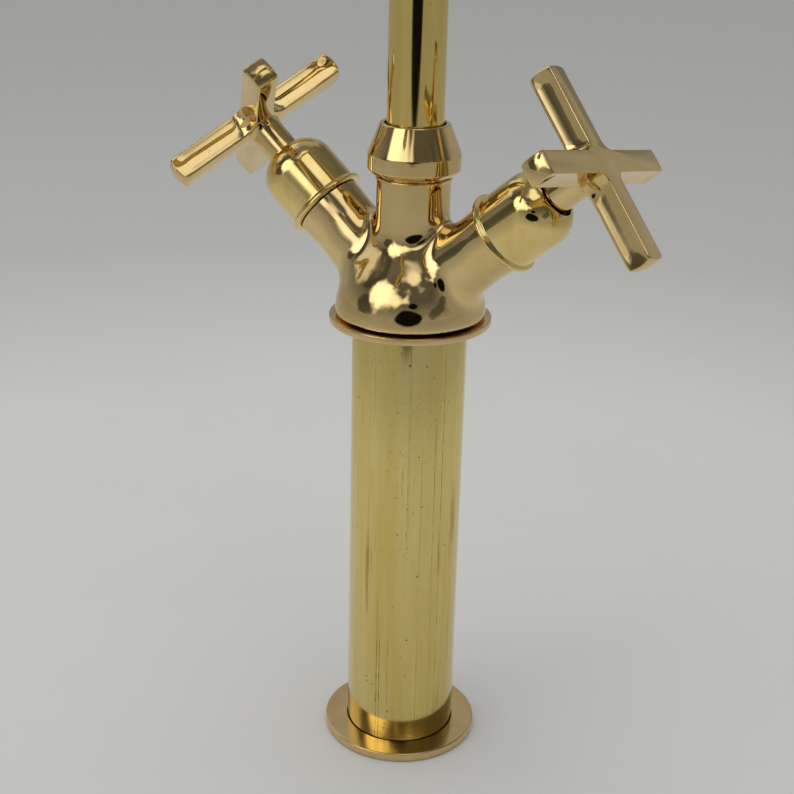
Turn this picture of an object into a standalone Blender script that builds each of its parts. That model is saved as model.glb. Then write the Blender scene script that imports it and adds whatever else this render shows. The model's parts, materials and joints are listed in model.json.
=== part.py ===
"""Tall single-hole bathroom mixer faucet with two cross handles and a swivelling gooseneck spout.

Units are metres, +Z is up. The origin is on the column's axis, on the deck that the base stands on.
The spout reaches towards -Y. The hot valve leans towards -X and the cold valve towards +X.
Pieces of a valve are modelled along their own axis: local Z runs outwards from the point where
both valve axes cross the column's axis.
"""

from math import atan2, cos, pi, radians, sin

import bmesh
import bpy
from mathutils import Matrix, Vector

# Clearances
FIT = 0.0003  # between pieces that touch or slide
SEAM = 0.0007  # shadow line that is left open between the body and the upper flange

# Sizes that the rest follows from
COLUMN_RADIUS = 0.0200
COLUMN_TOP = 0.1632
SPOUT_RADIUS = 0.0096
ARM_RADIUS = 0.0123
ARM_LENGTH = 0.0440  # of each arm of the body, from the point where the valve axes cross
HANDLE_SPAN = 0.0688
SPINDLE_RADIUS = 0.0040

# Base and column
COLUMN_WALL = 0.0015
FLANGE_RADIUS = COLUMN_RADIUS + 0.0084
FLANGE_THICKNESS = 0.0032
FLANGE_CHAMFER = 0.0004
FOOT_HEIGHT = 0.0140
BASE_RING_RADIUS = COLUMN_RADIUS + 0.0045  # middle of the seal ring under the flange
BASE_RING_SECTION = 0.0016

# Upper flange, which is brazed into the column and screws onto the body's shank
DISC_RADIUS = COLUMN_RADIUS + 0.0081
DISC_THICKNESS = 0.0023
DISC_CHAMFER = 0.0003
DISC_BOTTOM = COLUMN_TOP + FIT
REGISTER_DEPTH = 0.0070
REGISTER_WALL = 0.0033
SHANK_RADIUS = COLUMN_RADIUS - COLUMN_WALL - FIT - REGISTER_WALL - FIT
SHANK_LENGTH = 0.0095

# Cast mixer body
BODY_BOTTOM = DISC_BOTTOM + DISC_THICKNESS + SEAM
SHANK_BOTTOM = BODY_BOTTOM - SHANK_LENGTH
BELL_RADIUS = DISC_RADIUS - 0.0020
BELL_HEIGHT = 0.0270
BELL_LIP_FILLET = 0.0014
ARM_TILT = radians(49.8)  # of each valve's axis, from the vertical
CROSSING_HEIGHT = BODY_BOTTOM + 0.0042  # where the valve axes cross the column's axis
NECK_TOP = BODY_BOTTOM + 0.0477
NECK_BEAD = 0.0004  # how far the bead under the collar stands out
NECK_BEAD_HEIGHT = 0.0011
BODY_SEAL_RADIUS = SHANK_RADIUS + 0.0059
BODY_SEAL_SECTION = 0.0018

# Skin of the casting
CAST_ALLOWANCE = 0.0003  # metal that smoothing the casting takes off again
CAST_GRAIN = 0.0013
CAST_BLENDING = 20  # rounds of smoothing, which fillet the arms into the bell
CAST_FACETS = 0.11  # share of the skin's facets that is kept

# Waterways
SPOUT_BORE = SPOUT_RADIUS + 0.0004
SPOUT_BORE_DEPTH = 0.0185
THREAD_LENGTH = 0.0078  # of the neck above its bead, inside the collar nut
THREAD_RADIUS = SPOUT_BORE + 0.0016
NECK_RADIUS = SPOUT_BORE + 0.0025
NECK_END = NECK_TOP + THREAD_LENGTH
CHAMBER_RADIUS = 0.6 * SPOUT_BORE
CHAMBER_DEPTH = 0.0135
SEAT_DISTANCE = ARM_LENGTH - 0.0200  # of the valve seat from the crossing
VALVE_BORE = ARM_RADIUS - 0.0038
INLET_RADIUS = 0.0040
INLET_END = 0.0095  # how near the inlet hole comes to the crossing
MIX_RADIUS = 0.0022
RISER_RADIUS = 0.0050
RISER_WALL = 0.0010
RISER_OFFSET = SHANK_RADIUS - RISER_RADIUS - 2 * FIT  # of each feed tube from the column's axis
RISER_END = 0.0010  # height of the feed tubes' lower ends
RISER_SOCKET = 0.0090
RISER_RING_SECTION = 0.0012

# Spout
WASHER_THICKNESS = 0.0008
SHOULDER_THICKNESS = 0.0020
SHOULDER_BOTTOM = NECK_END + FIT + WASHER_THICKNESS + FIT
SHOULDER_TOP = SHOULDER_BOTTOM + SHOULDER_THICKNESS
COLLAR_GAP = 0.0007
COLLAR_BOTTOM = NECK_TOP + COLLAR_GAP
COLLAR_HEIGHT = 0.0170
COLLAR_TOP_RADIUS = SPOUT_RADIUS + 0.0021
COLLAR_RADIUS = NECK_RADIUS + 0.00325
COLLAR_BAND = 0.0050
COLLAR_CHAMFER = 0.0008
COLLAR_UNDERCUT = 0.0011
SPOUT_WALL = 0.0012
SPOUT_BEND_RADIUS = 0.0620
SPOUT_BEND_HEIGHT = SHOULDER_TOP + 0.0896
SPOUT_BEND_POINTS = 14
SPOUT_DROP = 0.0120
SPIGOT_BORE = SPOUT_RADIUS - 0.0033
SPIGOT_TENON = 0.0080
SPIGOT_RING_WIDTH = 0.0013
SPIGOT_RING_HEIGHT = 0.0017
SPIGOT_RING_SPACING = 0.0045
AERATOR_RADIUS = SPOUT_RADIUS + 0.0016
AERATOR_HEIGHT = 0.0120
AERATOR_WALL = 0.0012
AERATOR_LIP = 0.0014
AERATOR_HOLES = 6

# Bonnet caps
STEM_RADIUS = SPINDLE_RADIUS + 0.0020
CAP_BASE = ARM_LENGTH + FIT
CAP_RADIUS = ARM_RADIUS + 0.0009
CAP_WALL = 0.0011
CAP_LIP_RADIUS = CAP_RADIUS + 0.0013
CAP_LIP_HEIGHT = 0.0018
CAP_LENGTH = 0.0248
CAP_DOME_RADIUS = 0.0100
CAP_HOLE = STEM_RADIUS + 0.0011

# Valve cartridges
HOUSING_BASE = SEAT_DISTANCE + FIT
HOUSING_TOP = ARM_LENGTH + 0.0180
HOUSING_COLLAR_END = ARM_LENGTH + 0.0090
HOUSING_NECK_RADIUS = SPINDLE_RADIUS + 0.0028
HOUSING_COLLAR_RADIUS = CAP_RADIUS - CAP_WALL - FIT
HOUSING_FLAT_DEPTH = 0.0018
DISC_STACK_RADIUS = VALVE_BORE - 0.0015
FIXED_DISC_THICKNESS = 0.0028
MOVING_DISC_THICKNESS = 0.0026
SPINDLE_FOOT = 0.0030
SEAT_SEAL_THICKNESS = 0.0016
CERAMIC_PORT_RADIUS = 0.0018
CERAMIC_PORT_OFFSET = DISC_STACK_RADIUS * 4 / 7
FIXED_DISC_BASE = HOUSING_BASE + SEAT_SEAL_THICKNESS + FIT
MOVING_DISC_BASE = FIXED_DISC_BASE + FIXED_DISC_THICKNESS + FIT
SPINDLE_BASE = MOVING_DISC_BASE + MOVING_DISC_THICKNESS + FIT
SPINDLE_RING_AT = ARM_LENGTH + 0.0030
SPINDLE_RING_HEIGHT = 0.0015
SPINDLE_GROOVE_DEPTH = 0.0013
CLIP_THICKNESS = 0.0007
CLIP_RADIUS = SPINDLE_RADIUS + 0.0016
GASKET_THICKNESS = 0.0006
WINDOW_WIDTH = 0.0050

# Cross handles
HANDLE_DEPTH = 0.0088
HANDLE_ARM_WIDTH = 0.0082
HANDLE_INNER_FILLET = 0.0036
HANDLE_END_BULGE = 0.0006
STEM_START = HOUSING_TOP + 0.0020
STEM_LENGTH = 0.01595  # from the stem's end to the back of the cross
STEM_SOCKET = STEM_LENGTH + HANDLE_DEPTH / 4 - 0.00015  # how far the spindle reaches into the handle
HANDLE_BACK = STEM_START + STEM_LENGTH
SPINDLE_END = STEM_START + STEM_SOCKET - FIT
BOSS_RADIUS = STEM_RADIUS + 0.0028
SCREW_RADIUS = 0.0015
SCREW_LENGTH = 0.0017
SCREW_SOCKET = 0.0007
SCREW_AT = STEM_START + 0.0080
HOT_REST = radians(-38.0)  # how the closed hot cross stands about its axis
COLD_REST = radians(-11.4)
SCREW_BEARING = radians(135.0)  # of the grub screw, from the first arm of its cross

# Facets round the turned pieces
LARGE = 36
MEDIUM = 24
SMALL = 18
FINE = 12
HEXAGON = 6
CAP_FACETS = 28
FLAT = radians(0.6)  # facets that meet at less than this are merged


def clear_scene():
    for obj in list(bpy.data.objects):
        bpy.data.objects.remove(obj, do_unlink=True)


def new_collection(name):
    collection = bpy.data.collections.new(name)
    bpy.context.scene.collection.children.link(collection)
    return collection


def new_material(name, colour, roughness, metallic):
    material = bpy.data.materials.new(name)
    material.use_nodes = True
    shader = material.node_tree.nodes["Principled BSDF"]
    shader.inputs["Base Color"].default_value = (*colour, 1.0)
    shader.inputs["Roughness"].default_value = roughness
    shader.inputs["Metallic"].default_value = metallic
    return material


clear_scene()
PARTS = new_collection("bathroom_mixer_faucet")
CUTTERS = new_collection("cutters")
CAST_BRASS = new_material("cast_brass", (0.62, 0.44, 0.24), 0.16, 1.0)
DRAWN_BRASS = new_material("drawn_brass", (0.66, 0.52, 0.22), 0.24, 1.0)
TURNED_BRASS = new_material("turned_brass", (0.58, 0.43, 0.25), 0.30, 1.0)
VALVE_BRASS = new_material("valve_brass", (0.60, 0.47, 0.24), 0.35, 1.0)
COPPER = new_material("copper", (0.72, 0.38, 0.24), 0.35, 1.0)
STEEL = new_material("steel", (0.55, 0.55, 0.56), 0.30, 1.0)
RUBBER = new_material("rubber", (0.03, 0.03, 0.03), 0.80, 0.0)
CERAMIC = new_material("ceramic", (0.86, 0.85, 0.82), 0.20, 0.0)
NYLON = new_material("nylon", (0.80, 0.80, 0.78), 0.45, 0.0)


def arc(centre_r, centre_z, radius, start, end, count):
    """Points of an arc in the profile plane, from one angle in degrees to another."""
    angles = [radians(start + (end - start) * i / count) for i in range(count + 1)]
    return [(centre_r + radius * cos(a), centre_z + radius * sin(a)) for a in angles]


def link_mesh(name, mesh, material=None):
    obj = bpy.data.objects.new(name, mesh)
    if material is None:
        CUTTERS.objects.link(obj)
        obj.hide_render = True
        obj.display_type = "WIRE"
    else:
        PARTS.objects.link(obj)
        mesh.materials.append(material)
    return obj


def turned(name, profile, material=None, steps=MEDIUM, ring=False, parent=None):
    """A lathe-turned piece. The profile's (radius, height) points run down its outer side.

    A ring's profile is a closed loop. Any other profile starts and ends on the axis.
    """
    mesh = bpy.data.meshes.new(name)
    edges = [(i, i + 1) for i in range(len(profile) - 1)]
    if ring:
        edges.append((len(profile) - 1, 0))
    mesh.from_pydata([(r, 0.0, z) for r, z in profile], edges, [])
    obj = link_mesh(name, mesh, material)
    screw = obj.modifiers.new("turn", "SCREW")
    screw.steps = steps
    screw.render_steps = steps
    screw.use_merge_vertices = True
    screw.merge_threshold = 0.00001
    screw.use_smooth_shade = True
    obj.parent = parent
    return obj


def tube_profile(inner, outer, bottom, top):
    return [(inner, top), (outer, top), (outer, bottom), (inner, bottom)]


def rod_profile(radius, bottom, top):
    return [(0.0, top), (radius, top), (radius, bottom), (0.0, bottom)]


def ring(name, inner, outer, bottom, top, material, steps=MEDIUM, parent=None):
    return turned(name, tube_profile(inner, outer, bottom, top), material, steps, True, parent)


def hole(name, radius, bottom, top, steps=SMALL, parent=None):
    """A round cutter along Z."""
    return turned(name, rod_profile(radius, bottom, top), None, steps, False, parent)


def block(name, size, centre, parent=None, turn=0.0):
    """A box-shaped cutter, turned about Z."""
    mesh = bpy.data.meshes.new(name)
    shape = bmesh.new()
    bmesh.ops.create_cube(shape, size=1.0, matrix=Matrix.Diagonal((*size, 1.0)))
    shape.transform(Matrix.Translation(centre))
    shape.transform(Matrix.Rotation(turn, 4, "Z"))
    shape.to_mesh(mesh)
    shape.free()
    cutter = link_mesh(name, mesh)
    cutter.parent = parent
    return cutter


def boolean(obj, other, operation="DIFFERENCE"):
    modifier = obj.modifiers.new(other.name, "BOOLEAN")
    modifier.operation = operation
    modifier.solver = "EXACT"
    modifier.object = other


def axis_empty(name, height, tilt=0.0, turn=0.0):
    """An empty on a joint's axis, its Z along that axis."""
    empty = bpy.data.objects.new(name, None)
    empty.empty_display_size = 0.02
    empty.location = (0.0, 0.0, height)
    empty.rotation_euler = (Matrix.Rotation(tilt, 3, "Y") @ Matrix.Rotation(turn, 3, "Z")).to_euler()
    PARTS.objects.link(empty)
    return empty


def make_base():
    ring_in = BASE_RING_RADIUS - BASE_RING_SECTION / 2
    ring_out = BASE_RING_RADIUS + BASE_RING_SECTION / 2
    bore = COLUMN_RADIUS + FIT
    groove_top = BASE_RING_SECTION + FIT
    top = FLANGE_THICKNESS
    edge = FLANGE_RADIUS - FLANGE_CHAMFER
    profile = [(bore, top), (edge, top), (FLANGE_RADIUS, top - FLANGE_CHAMFER), (FLANGE_RADIUS, 0.0)]
    profile += [(ring_out + FIT, 0.0), (ring_out + FIT, groove_top)]
    profile += [(ring_in - FIT, groove_top), (ring_in - FIT, 0.0), (bore, 0.0)]
    turned("base_flange", profile, TURNED_BRASS, LARGE, True)
    ring("base_seal_ring", ring_in, ring_out, 0.0, BASE_RING_SECTION, RUBBER, LARGE)

    ring("column_tube", COLUMN_RADIUS - COLUMN_WALL, COLUMN_RADIUS, 0.0, COLUMN_TOP, DRAWN_BRASS, LARGE)

    foot_radius = COLUMN_RADIUS - COLUMN_WALL - FIT
    foot = turned("column_foot", rod_profile(foot_radius, 0.0, FOOT_HEIGHT), VALVE_BRASS, LARGE)
    for name, side in (("hot", -1), ("cold", 1)):
        passage = hole(f"{name}_foot_hole", RISER_RADIUS + FIT, -FOOT_HEIGHT, 2 * FOOT_HEIGHT)
        passage.location = (side * RISER_OFFSET, 0.0, 0.0)
        boolean(foot, passage)


def make_upper_flange():
    top = DISC_BOTTOM + DISC_THICKNESS
    register = COLUMN_RADIUS - COLUMN_WALL - FIT
    bore = SHANK_RADIUS + FIT
    edge = DISC_RADIUS - DISC_CHAMFER
    profile = [(bore, top), (edge, top), (DISC_RADIUS, top - DISC_CHAMFER), (DISC_RADIUS, DISC_BOTTOM)]
    profile += [(register, DISC_BOTTOM), (register, DISC_BOTTOM - REGISTER_DEPTH)]
    profile += [(bore, DISC_BOTTOM - REGISTER_DEPTH)]
    turned("upper_flange", profile, TURNED_BRASS, LARGE, True)

    inner = BODY_SEAL_RADIUS - BODY_SEAL_SECTION / 2
    outer = BODY_SEAL_RADIUS + BODY_SEAL_SECTION / 2
    ring("body_seal_ring", inner, outer, top + FIT, top + FIT + BODY_SEAL_SECTION, RUBBER, LARGE)


def bell_profile():
    """The squat dome of the casting, carried on below its finished underside."""
    radius = BELL_RADIUS + CAST_ALLOWANCE
    count = 10
    angles = [pi / 2 * (1 - i / count) for i in range(count + 1)]
    dome = [(radius * cos(a), BODY_BOTTOM + BELL_HEIGHT * sin(a)) for a in angles]
    below = BODY_BOTTOM - ARM_RADIUS / 2
    return dome + [(radius, below), (0.0, below)]


def make_mixer_body(hot_axis, cold_axis):
    """The casting: bell, two arms and neck, blended, and then its machined faces and bores."""
    body = turned("mixer_body", bell_profile(), CAST_BRASS, LARGE)
    arm = ARM_RADIUS + CAST_ALLOWANCE
    spare = ARM_RADIUS / 2
    for name, axis in (("hot", hot_axis), ("cold", cold_axis)):
        rough = hole(f"{name}_arm_casting", arm, 0.0, ARM_LENGTH + spare, LARGE, axis)
        boolean(body, rough, "UNION")
    neck = hole("neck_casting", NECK_RADIUS + CAST_ALLOWANCE, CROSSING_HEIGHT, NECK_TOP + spare, LARGE)
    boolean(body, neck, "UNION")

    remesh = body.modifiers.new("casting_skin", "REMESH")
    remesh.mode = "VOXEL"
    remesh.voxel_size = CAST_GRAIN
    remesh.use_smooth_shade = True
    smooth = body.modifiers.new("casting_blends", "SMOOTH")
    smooth.factor = 0.5
    smooth.iterations = CAST_BLENDING
    decimate = body.modifiers.new("casting_facets", "DECIMATE")
    decimate.ratio = CAST_FACETS

    finish_body_outside(body, hot_axis, cold_axis)
    cut_body_waterways(body, hot_axis, cold_axis)


def finish_body_outside(body, hot_axis, cold_axis):
    """Faces the underside, the two arm ends and the neck, and adds the shank and the neck's thread."""
    far = 4 * BELL_RADIUS
    boolean(body, block("underside_facing", (far, far, far), (0.0, 0.0, BODY_BOTTOM - far / 2)))
    wide = 4 * ARM_RADIUS
    for name, axis in (("hot", hot_axis), ("cold", cold_axis)):
        middle = (0.0, 0.0, ARM_LENGTH + wide / 2)
        boolean(body, block(f"{name}_arm_facing", (wide, wide, wide), middle, axis))
    bead = NECK_TOP - NECK_BEAD_HEIGHT
    wide = 3 * NECK_RADIUS
    boolean(body, block("neck_facing", (wide, wide, wide), (0.0, 0.0, bead + wide / 2)))

    bead_radius = NECK_RADIUS + NECK_BEAD
    overlap = BELL_LIP_FILLET
    inside = NECK_RADIUS - overlap
    profile = [(0.0, NECK_END), (THREAD_RADIUS, NECK_END), (THREAD_RADIUS, NECK_TOP)]
    profile += [(bead_radius, NECK_TOP), (bead_radius, bead)]
    profile += [(inside, bead - overlap), (0.0, bead - overlap)]
    boolean(body, turned("neck_thread", profile, None, LARGE), "UNION")
    profile = rod_profile(SHANK_RADIUS, SHANK_BOTTOM, BODY_BOTTOM + overlap)
    boolean(body, turned("body_shank", profile, None, LARGE), "UNION")

    groove = BODY_SEAL_SECTION / 2 + FIT
    depth = BODY_BOTTOM - SEAM + FIT + BODY_SEAL_SECTION + FIT
    inner, outer = BODY_SEAL_RADIUS - groove, BODY_SEAL_RADIUS + groove
    profile = tube_profile(inner, outer, BODY_BOTTOM - overlap, depth)
    boolean(body, turned("body_seal_groove", profile, None, LARGE, True))


def cut_body_waterways(body, hot_axis, cold_axis):
    bore_floor = NECK_END - SPOUT_BORE_DEPTH
    chamber_floor = bore_floor - CHAMBER_DEPTH
    above = NECK_END + SPOUT_BORE
    profile = [(0.0, above), (SPOUT_BORE, above), (SPOUT_BORE, bore_floor), (CHAMBER_RADIUS, bore_floor)]
    profile += [(CHAMBER_RADIUS, chamber_floor), (0.0, chamber_floor)]
    boolean(body, turned("spout_bore", profile, None, MEDIUM))

    for name, axis, side in (("hot", hot_axis, -1), ("cold", cold_axis, 1)):
        end = ARM_LENGTH + VALVE_BORE
        profile = [(0.0, end), (VALVE_BORE, end)]
        profile += [(VALVE_BORE, SEAT_DISTANCE), (INLET_RADIUS, SEAT_DISTANCE)]
        profile += [(INLET_RADIUS, INLET_END), (0.0, INLET_END)]
        boolean(body, turned(f"{name}_valve_bore", profile, None, MEDIUM, parent=axis))

        meeting = CROSSING_HEIGHT + RISER_OFFSET / sin(ARM_TILT) * cos(ARM_TILT)
        socket_top = SHANK_BOTTOM + RISER_SOCKET
        socket = RISER_RADIUS + FIT
        feed = RISER_RADIUS - RISER_WALL - FIT
        profile = [(0.0, meeting), (feed, meeting), (feed, socket_top), (socket, socket_top)]
        profile += [(socket, SHANK_BOTTOM - socket), (0.0, SHANK_BOTTOM - socket)]
        port = turned(f"{name}_inlet_port", profile, None, SMALL)
        port.location = (side * RISER_OFFSET, 0.0, 0.0)
        boolean(body, port)

        wall = SEAT_DISTANCE + MIX_RADIUS + FIT + FIT
        start = Vector((side * wall * sin(ARM_TILT), 0.0, CROSSING_HEIGHT + wall * cos(ARM_TILT)))
        start += VALVE_BORE * Vector((-side * cos(ARM_TILT), 0.0, sin(ARM_TILT)))
        finish = Vector((0.0, 0.0, chamber_floor + 2 * MIX_RADIUS))
        run = finish - start
        passage = hole(f"{name}_mixing_passage", MIX_RADIUS, -MIX_RADIUS, run.length)
        passage.location = start
        passage.rotation_euler = (0.0, atan2(run.x, run.z), 0.0)
        boolean(body, passage)


def make_risers():
    """Copper feed tubes that stand in the column, each sealed in the shank by a ring in its groove."""
    top = SHANK_BOTTOM + RISER_SOCKET - FIT
    groove = RISER_RING_SECTION / 2
    middle = SHANK_BOTTOM + RISER_SOCKET / 2
    bore = RISER_RADIUS - RISER_WALL - groove
    waist = RISER_RADIUS - groove
    for name, side in (("hot", -1), ("cold", 1)):
        profile = [(bore, top), (RISER_RADIUS, top), (RISER_RADIUS, middle + groove + FIT)]
        profile += [(waist - FIT, middle + groove + FIT), (waist - FIT, middle - groove - FIT)]
        profile += [(RISER_RADIUS, middle - groove - FIT), (RISER_RADIUS, RISER_END), (bore, RISER_END)]
        riser = turned(f"{name}_riser_tube", profile, COPPER, SMALL, True)
        riser.location = (side * RISER_OFFSET, 0.0, 0.0)
        low, high = middle - groove, middle + groove
        seal = ring(f"{name}_riser_seal_ring", waist, RISER_RADIUS, low, high, RUBBER, SMALL)
        seal.location = (side * RISER_OFFSET, 0.0, 0.0)


def collar_profile():
    top = COLLAR_BOTTOM + COLLAR_HEIGHT
    bore = SPOUT_RADIUS + COLLAR_GAP
    thread = THREAD_RADIUS + FIT
    shoulder = SHOULDER_TOP + FIT
    band = COLLAR_BOTTOM + COLLAR_UNDERCUT + COLLAR_CHAMFER
    profile = [(bore, top), (COLLAR_TOP_RADIUS - DISC_CHAMFER, top)]
    profile += [(COLLAR_TOP_RADIUS, top - DISC_CHAMFER)]
    profile += [(COLLAR_RADIUS, band + COLLAR_BAND), (COLLAR_RADIUS, band)]
    profile += [(COLLAR_RADIUS - COLLAR_CHAMFER, band - COLLAR_CHAMFER)]
    profile += [(NECK_RADIUS + NECK_BEAD, COLLAR_BOTTOM), (thread, COLLAR_BOTTOM)]
    return profile + [(thread, shoulder), (bore, shoulder)]


def make_collar():
    turned("spout_collar_nut", collar_profile(), CAST_BRASS, LARGE, True)
    bottom = NECK_END + FIT
    inner = SPOUT_RADIUS + FIT
    outer = THREAD_RADIUS - FIT
    ring("spout_thrust_washer", inner, outer, bottom, bottom + WASHER_THICKNESS, NYLON)


def spout_path():
    """Centre line of the gooseneck: up, over a half circle and down to the outlet."""
    bottom = SHOULDER_TOP + FIT
    end = SPOUT_BEND_HEIGHT - SPOUT_DROP
    points = [Vector((0.0, 0.0, bottom))]
    for i in range(SPOUT_BEND_POINTS + 1):
        angle = pi * i / SPOUT_BEND_POINTS
        y = -SPOUT_BEND_RADIUS * (1 - cos(angle))
        points.append(Vector((0.0, y, SPOUT_BEND_HEIGHT + SPOUT_BEND_RADIUS * sin(angle))))
    points.append(Vector((0.0, -2 * SPOUT_BEND_RADIUS, end)))
    return points


def make_spout(axis):
    """The drawn tube is a swept surface with a wall, open at both ends."""
    curve = bpy.data.curves.new("spout_path", "CURVE")
    curve.dimensions = "3D"
    curve.bevel_depth = SPOUT_RADIUS
    curve.bevel_resolution = 6
    spline = curve.splines.new("POLY")
    path = spout_path()
    spline.points.add(len(path) - 1)
    for point, place in zip(spline.points, path):
        point.co = (*place, 1.0)
    guide = bpy.data.objects.new("spout_path", curve)
    CUTTERS.objects.link(guide)
    bpy.context.view_layer.update()
    mesh = bpy.data.meshes.new_from_object(guide.evaluated_get(bpy.context.evaluated_depsgraph_get()))
    bpy.data.objects.remove(guide)
    mesh.name = "spout_tube"
    tube = link_mesh("spout_tube", mesh, DRAWN_BRASS)
    mesh.shade_smooth()
    wall = tube.modifiers.new("wall", "SOLIDIFY")
    wall.thickness = SPOUT_WALL
    wall.offset = -1.0
    wall.use_even_offset = True
    for obj in (tube, *make_spigot(), *make_aerator()):
        obj.parent = axis
        obj.matrix_parent_inverse = Matrix.Translation(-axis.location)


def make_spigot():
    """Fitting brazed into the tube's lower end, with a shoulder and two sealing rings."""
    radius = SPOUT_BORE - FIT
    bottom = NECK_END - SPOUT_BORE_DEPTH + 2 * FIT
    tenon = SPOUT_RADIUS - SPOUT_WALL - FIT
    top = SHOULDER_TOP + SPIGOT_TENON
    profile = [(SPIGOT_BORE, top), (tenon, top), (tenon, SHOULDER_TOP)]
    profile += [(THREAD_RADIUS - FIT, SHOULDER_TOP), (THREAD_RADIUS - FIT, SHOULDER_BOTTOM)]
    profile += [(SPOUT_RADIUS, SHOULDER_BOTTOM), (SPOUT_RADIUS, NECK_END - FIT)]
    profile += [(radius, NECK_END - 2 * FIT)]
    groove = radius - SPIGOT_RING_WIDTH - FIT
    pieces = []
    middle = (bottom + NECK_END) / 2
    for name, side in (("upper", 1), ("lower", -1)):
        centre = middle + side * SPIGOT_RING_SPACING / 2
        high = centre + SPIGOT_RING_HEIGHT / 2
        low = centre - SPIGOT_RING_HEIGHT / 2
        profile += [(radius, high + FIT), (groove, high + FIT), (groove, low - FIT), (radius, low - FIT)]
        pieces.append(ring(f"{name}_spigot_ring", groove + FIT, radius, low, high, RUBBER))
    profile += [(radius, bottom), (SPIGOT_BORE, bottom)]
    pieces.append(turned("spout_spigot", profile, VALVE_BRASS, MEDIUM, True))
    return pieces


def make_aerator():
    """Screwed housing on the outlet, with its washer and flow insert."""
    y = -2 * SPOUT_BEND_RADIUS
    end = SPOUT_BEND_HEIGHT - SPOUT_DROP
    outer = AERATOR_RADIUS
    bore = SPOUT_RADIUS + FIT
    bottom = end - AERATOR_HEIGHT / 2
    top = end + AERATOR_HEIGHT / 2
    mouth = bore - AERATOR_LIP
    profile = [(bore, top), (outer - FLANGE_CHAMFER, top), (outer, top - FLANGE_CHAMFER)]
    profile += [(outer, bottom + FLANGE_CHAMFER), (outer - FLANGE_CHAMFER, bottom), (mouth, bottom)]
    profile += [(mouth, bottom + AERATOR_WALL), (bore, bottom + AERATOR_WALL)]
    housing = turned("aerator_housing", profile, CAST_BRASS, MEDIUM, True)
    seat = bottom + AERATOR_WALL + FIT
    insert_top = end - 2 * FIT - WASHER_THICKNESS
    insert = turned("aerator_insert", rod_profile(bore - FIT, seat, insert_top), NYLON, MEDIUM)
    for i in range(AERATOR_HOLES):
        angle = 2 * pi * i / AERATOR_HOLES
        radius = mouth / 2
        cutter = hole(f"aerator_hole_{i}", mouth / 6, bottom, end, FINE)
        cutter.location = (radius * cos(angle), y + radius * sin(angle), 0.0)
        boolean(insert, cutter)
    inner = bore - 2 * SPOUT_WALL
    gasket = ring("aerator_washer", inner, bore - FIT, insert_top + FIT, end - FIT, RUBBER)
    for obj in (housing, insert, gasket):
        obj.location = (0.0, y, 0.0)
    return [housing, insert, gasket]


def cap_profile():
    """Domed cap with a rolled lip at its base and a hole for the handle's stem."""
    base = CAP_BASE
    shoulder = base + CAP_LENGTH - CAP_DOME_RADIUS
    centre = CAP_RADIUS - CAP_DOME_RADIUS
    reach = arc_angle(CAP_HOLE - centre, CAP_DOME_RADIUS)
    outer = arc(centre, shoulder, CAP_DOME_RADIUS, reach, 0.0, 5)
    lip = CAP_LIP_HEIGHT / 2
    rolled = arc(CAP_LIP_RADIUS - lip, base + lip, lip, 60.0, -60.0, 2)
    inner_radius = CAP_DOME_RADIUS - CAP_WALL
    inner_reach = arc_angle(CAP_HOLE - centre, inner_radius)
    inner = arc(centre, shoulder, inner_radius, 0.0, inner_reach, 3)
    profile = outer + [(CAP_RADIUS, base + CAP_LIP_HEIGHT)] + rolled
    return profile + [(CAP_RADIUS - CAP_WALL, base)] + inner


def arc_angle(across, radius):
    """Angle in degrees at which an arc of this radius stands this far from its centre."""
    return atan2((radius**2 - across**2) ** 0.5, across) * 180 / pi


def make_cartridge(name, axis):
    """The fixed pieces of one valve."""
    turned(f"{name}_bonnet_cap", cap_profile(), DRAWN_BRASS, CAP_FACETS, True, axis)

    barrel = VALVE_BORE - FIT
    collar = HOUSING_COLLAR_RADIUS
    collar_base = ARM_LENGTH + FIT + GASKET_THICKNESS + FIT
    chamber = DISC_STACK_RADIUS + FIT
    chamber_top = SPINDLE_BASE + SPINDLE_FOOT + FIT
    bore = SPINDLE_RADIUS + FIT
    neck = HOUSING_NECK_RADIUS
    profile = [(bore, HOUSING_TOP), (neck, HOUSING_TOP), (neck, HOUSING_COLLAR_END)]
    profile += [(collar, HOUSING_COLLAR_END), (collar, collar_base)]
    profile += [(barrel, collar_base), (barrel, HOUSING_BASE)]
    profile += [(chamber, HOUSING_BASE), (chamber, chamber_top), (bore, chamber_top)]
    housing = turned(f"{name}_cartridge_housing", profile, VALVE_BRASS, MEDIUM, True, axis)
    window = (4 * barrel, WINDOW_WIDTH, MOVING_DISC_THICKNESS)
    middle = (0.0, 0.0, MOVING_DISC_BASE + MOVING_DISC_THICKNESS / 2)
    boolean(housing, block(f"{name}_windows", window, middle, axis))
    flat = (2 * collar, 4 * collar, HOUSING_COLLAR_END - collar_base)
    for side in (-1, 1):
        middle = (side * (2 * collar - HOUSING_FLAT_DEPTH), 0.0, HOUSING_COLLAR_END)
        boolean(housing, block(f"{name}_spanner_flat_{side}", flat, middle, axis))

    inner = VALVE_BORE + FIT
    low = ARM_LENGTH + FIT
    ring(f"{name}_cartridge_gasket", inner, collar, low, low + GASKET_THICKNESS, RUBBER, MEDIUM, axis)
    outer = DISC_STACK_RADIUS
    low = HOUSING_BASE
    ring(f"{name}_seat_seal", INLET_RADIUS, outer, low, low + SEAT_SEAL_THICKNESS, RUBBER, SMALL, axis)
    ceramic_disc(f"{name}_fixed_ceramic_disc", FIXED_DISC_BASE, FIXED_DISC_THICKNESS, axis, 0.0)


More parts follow.
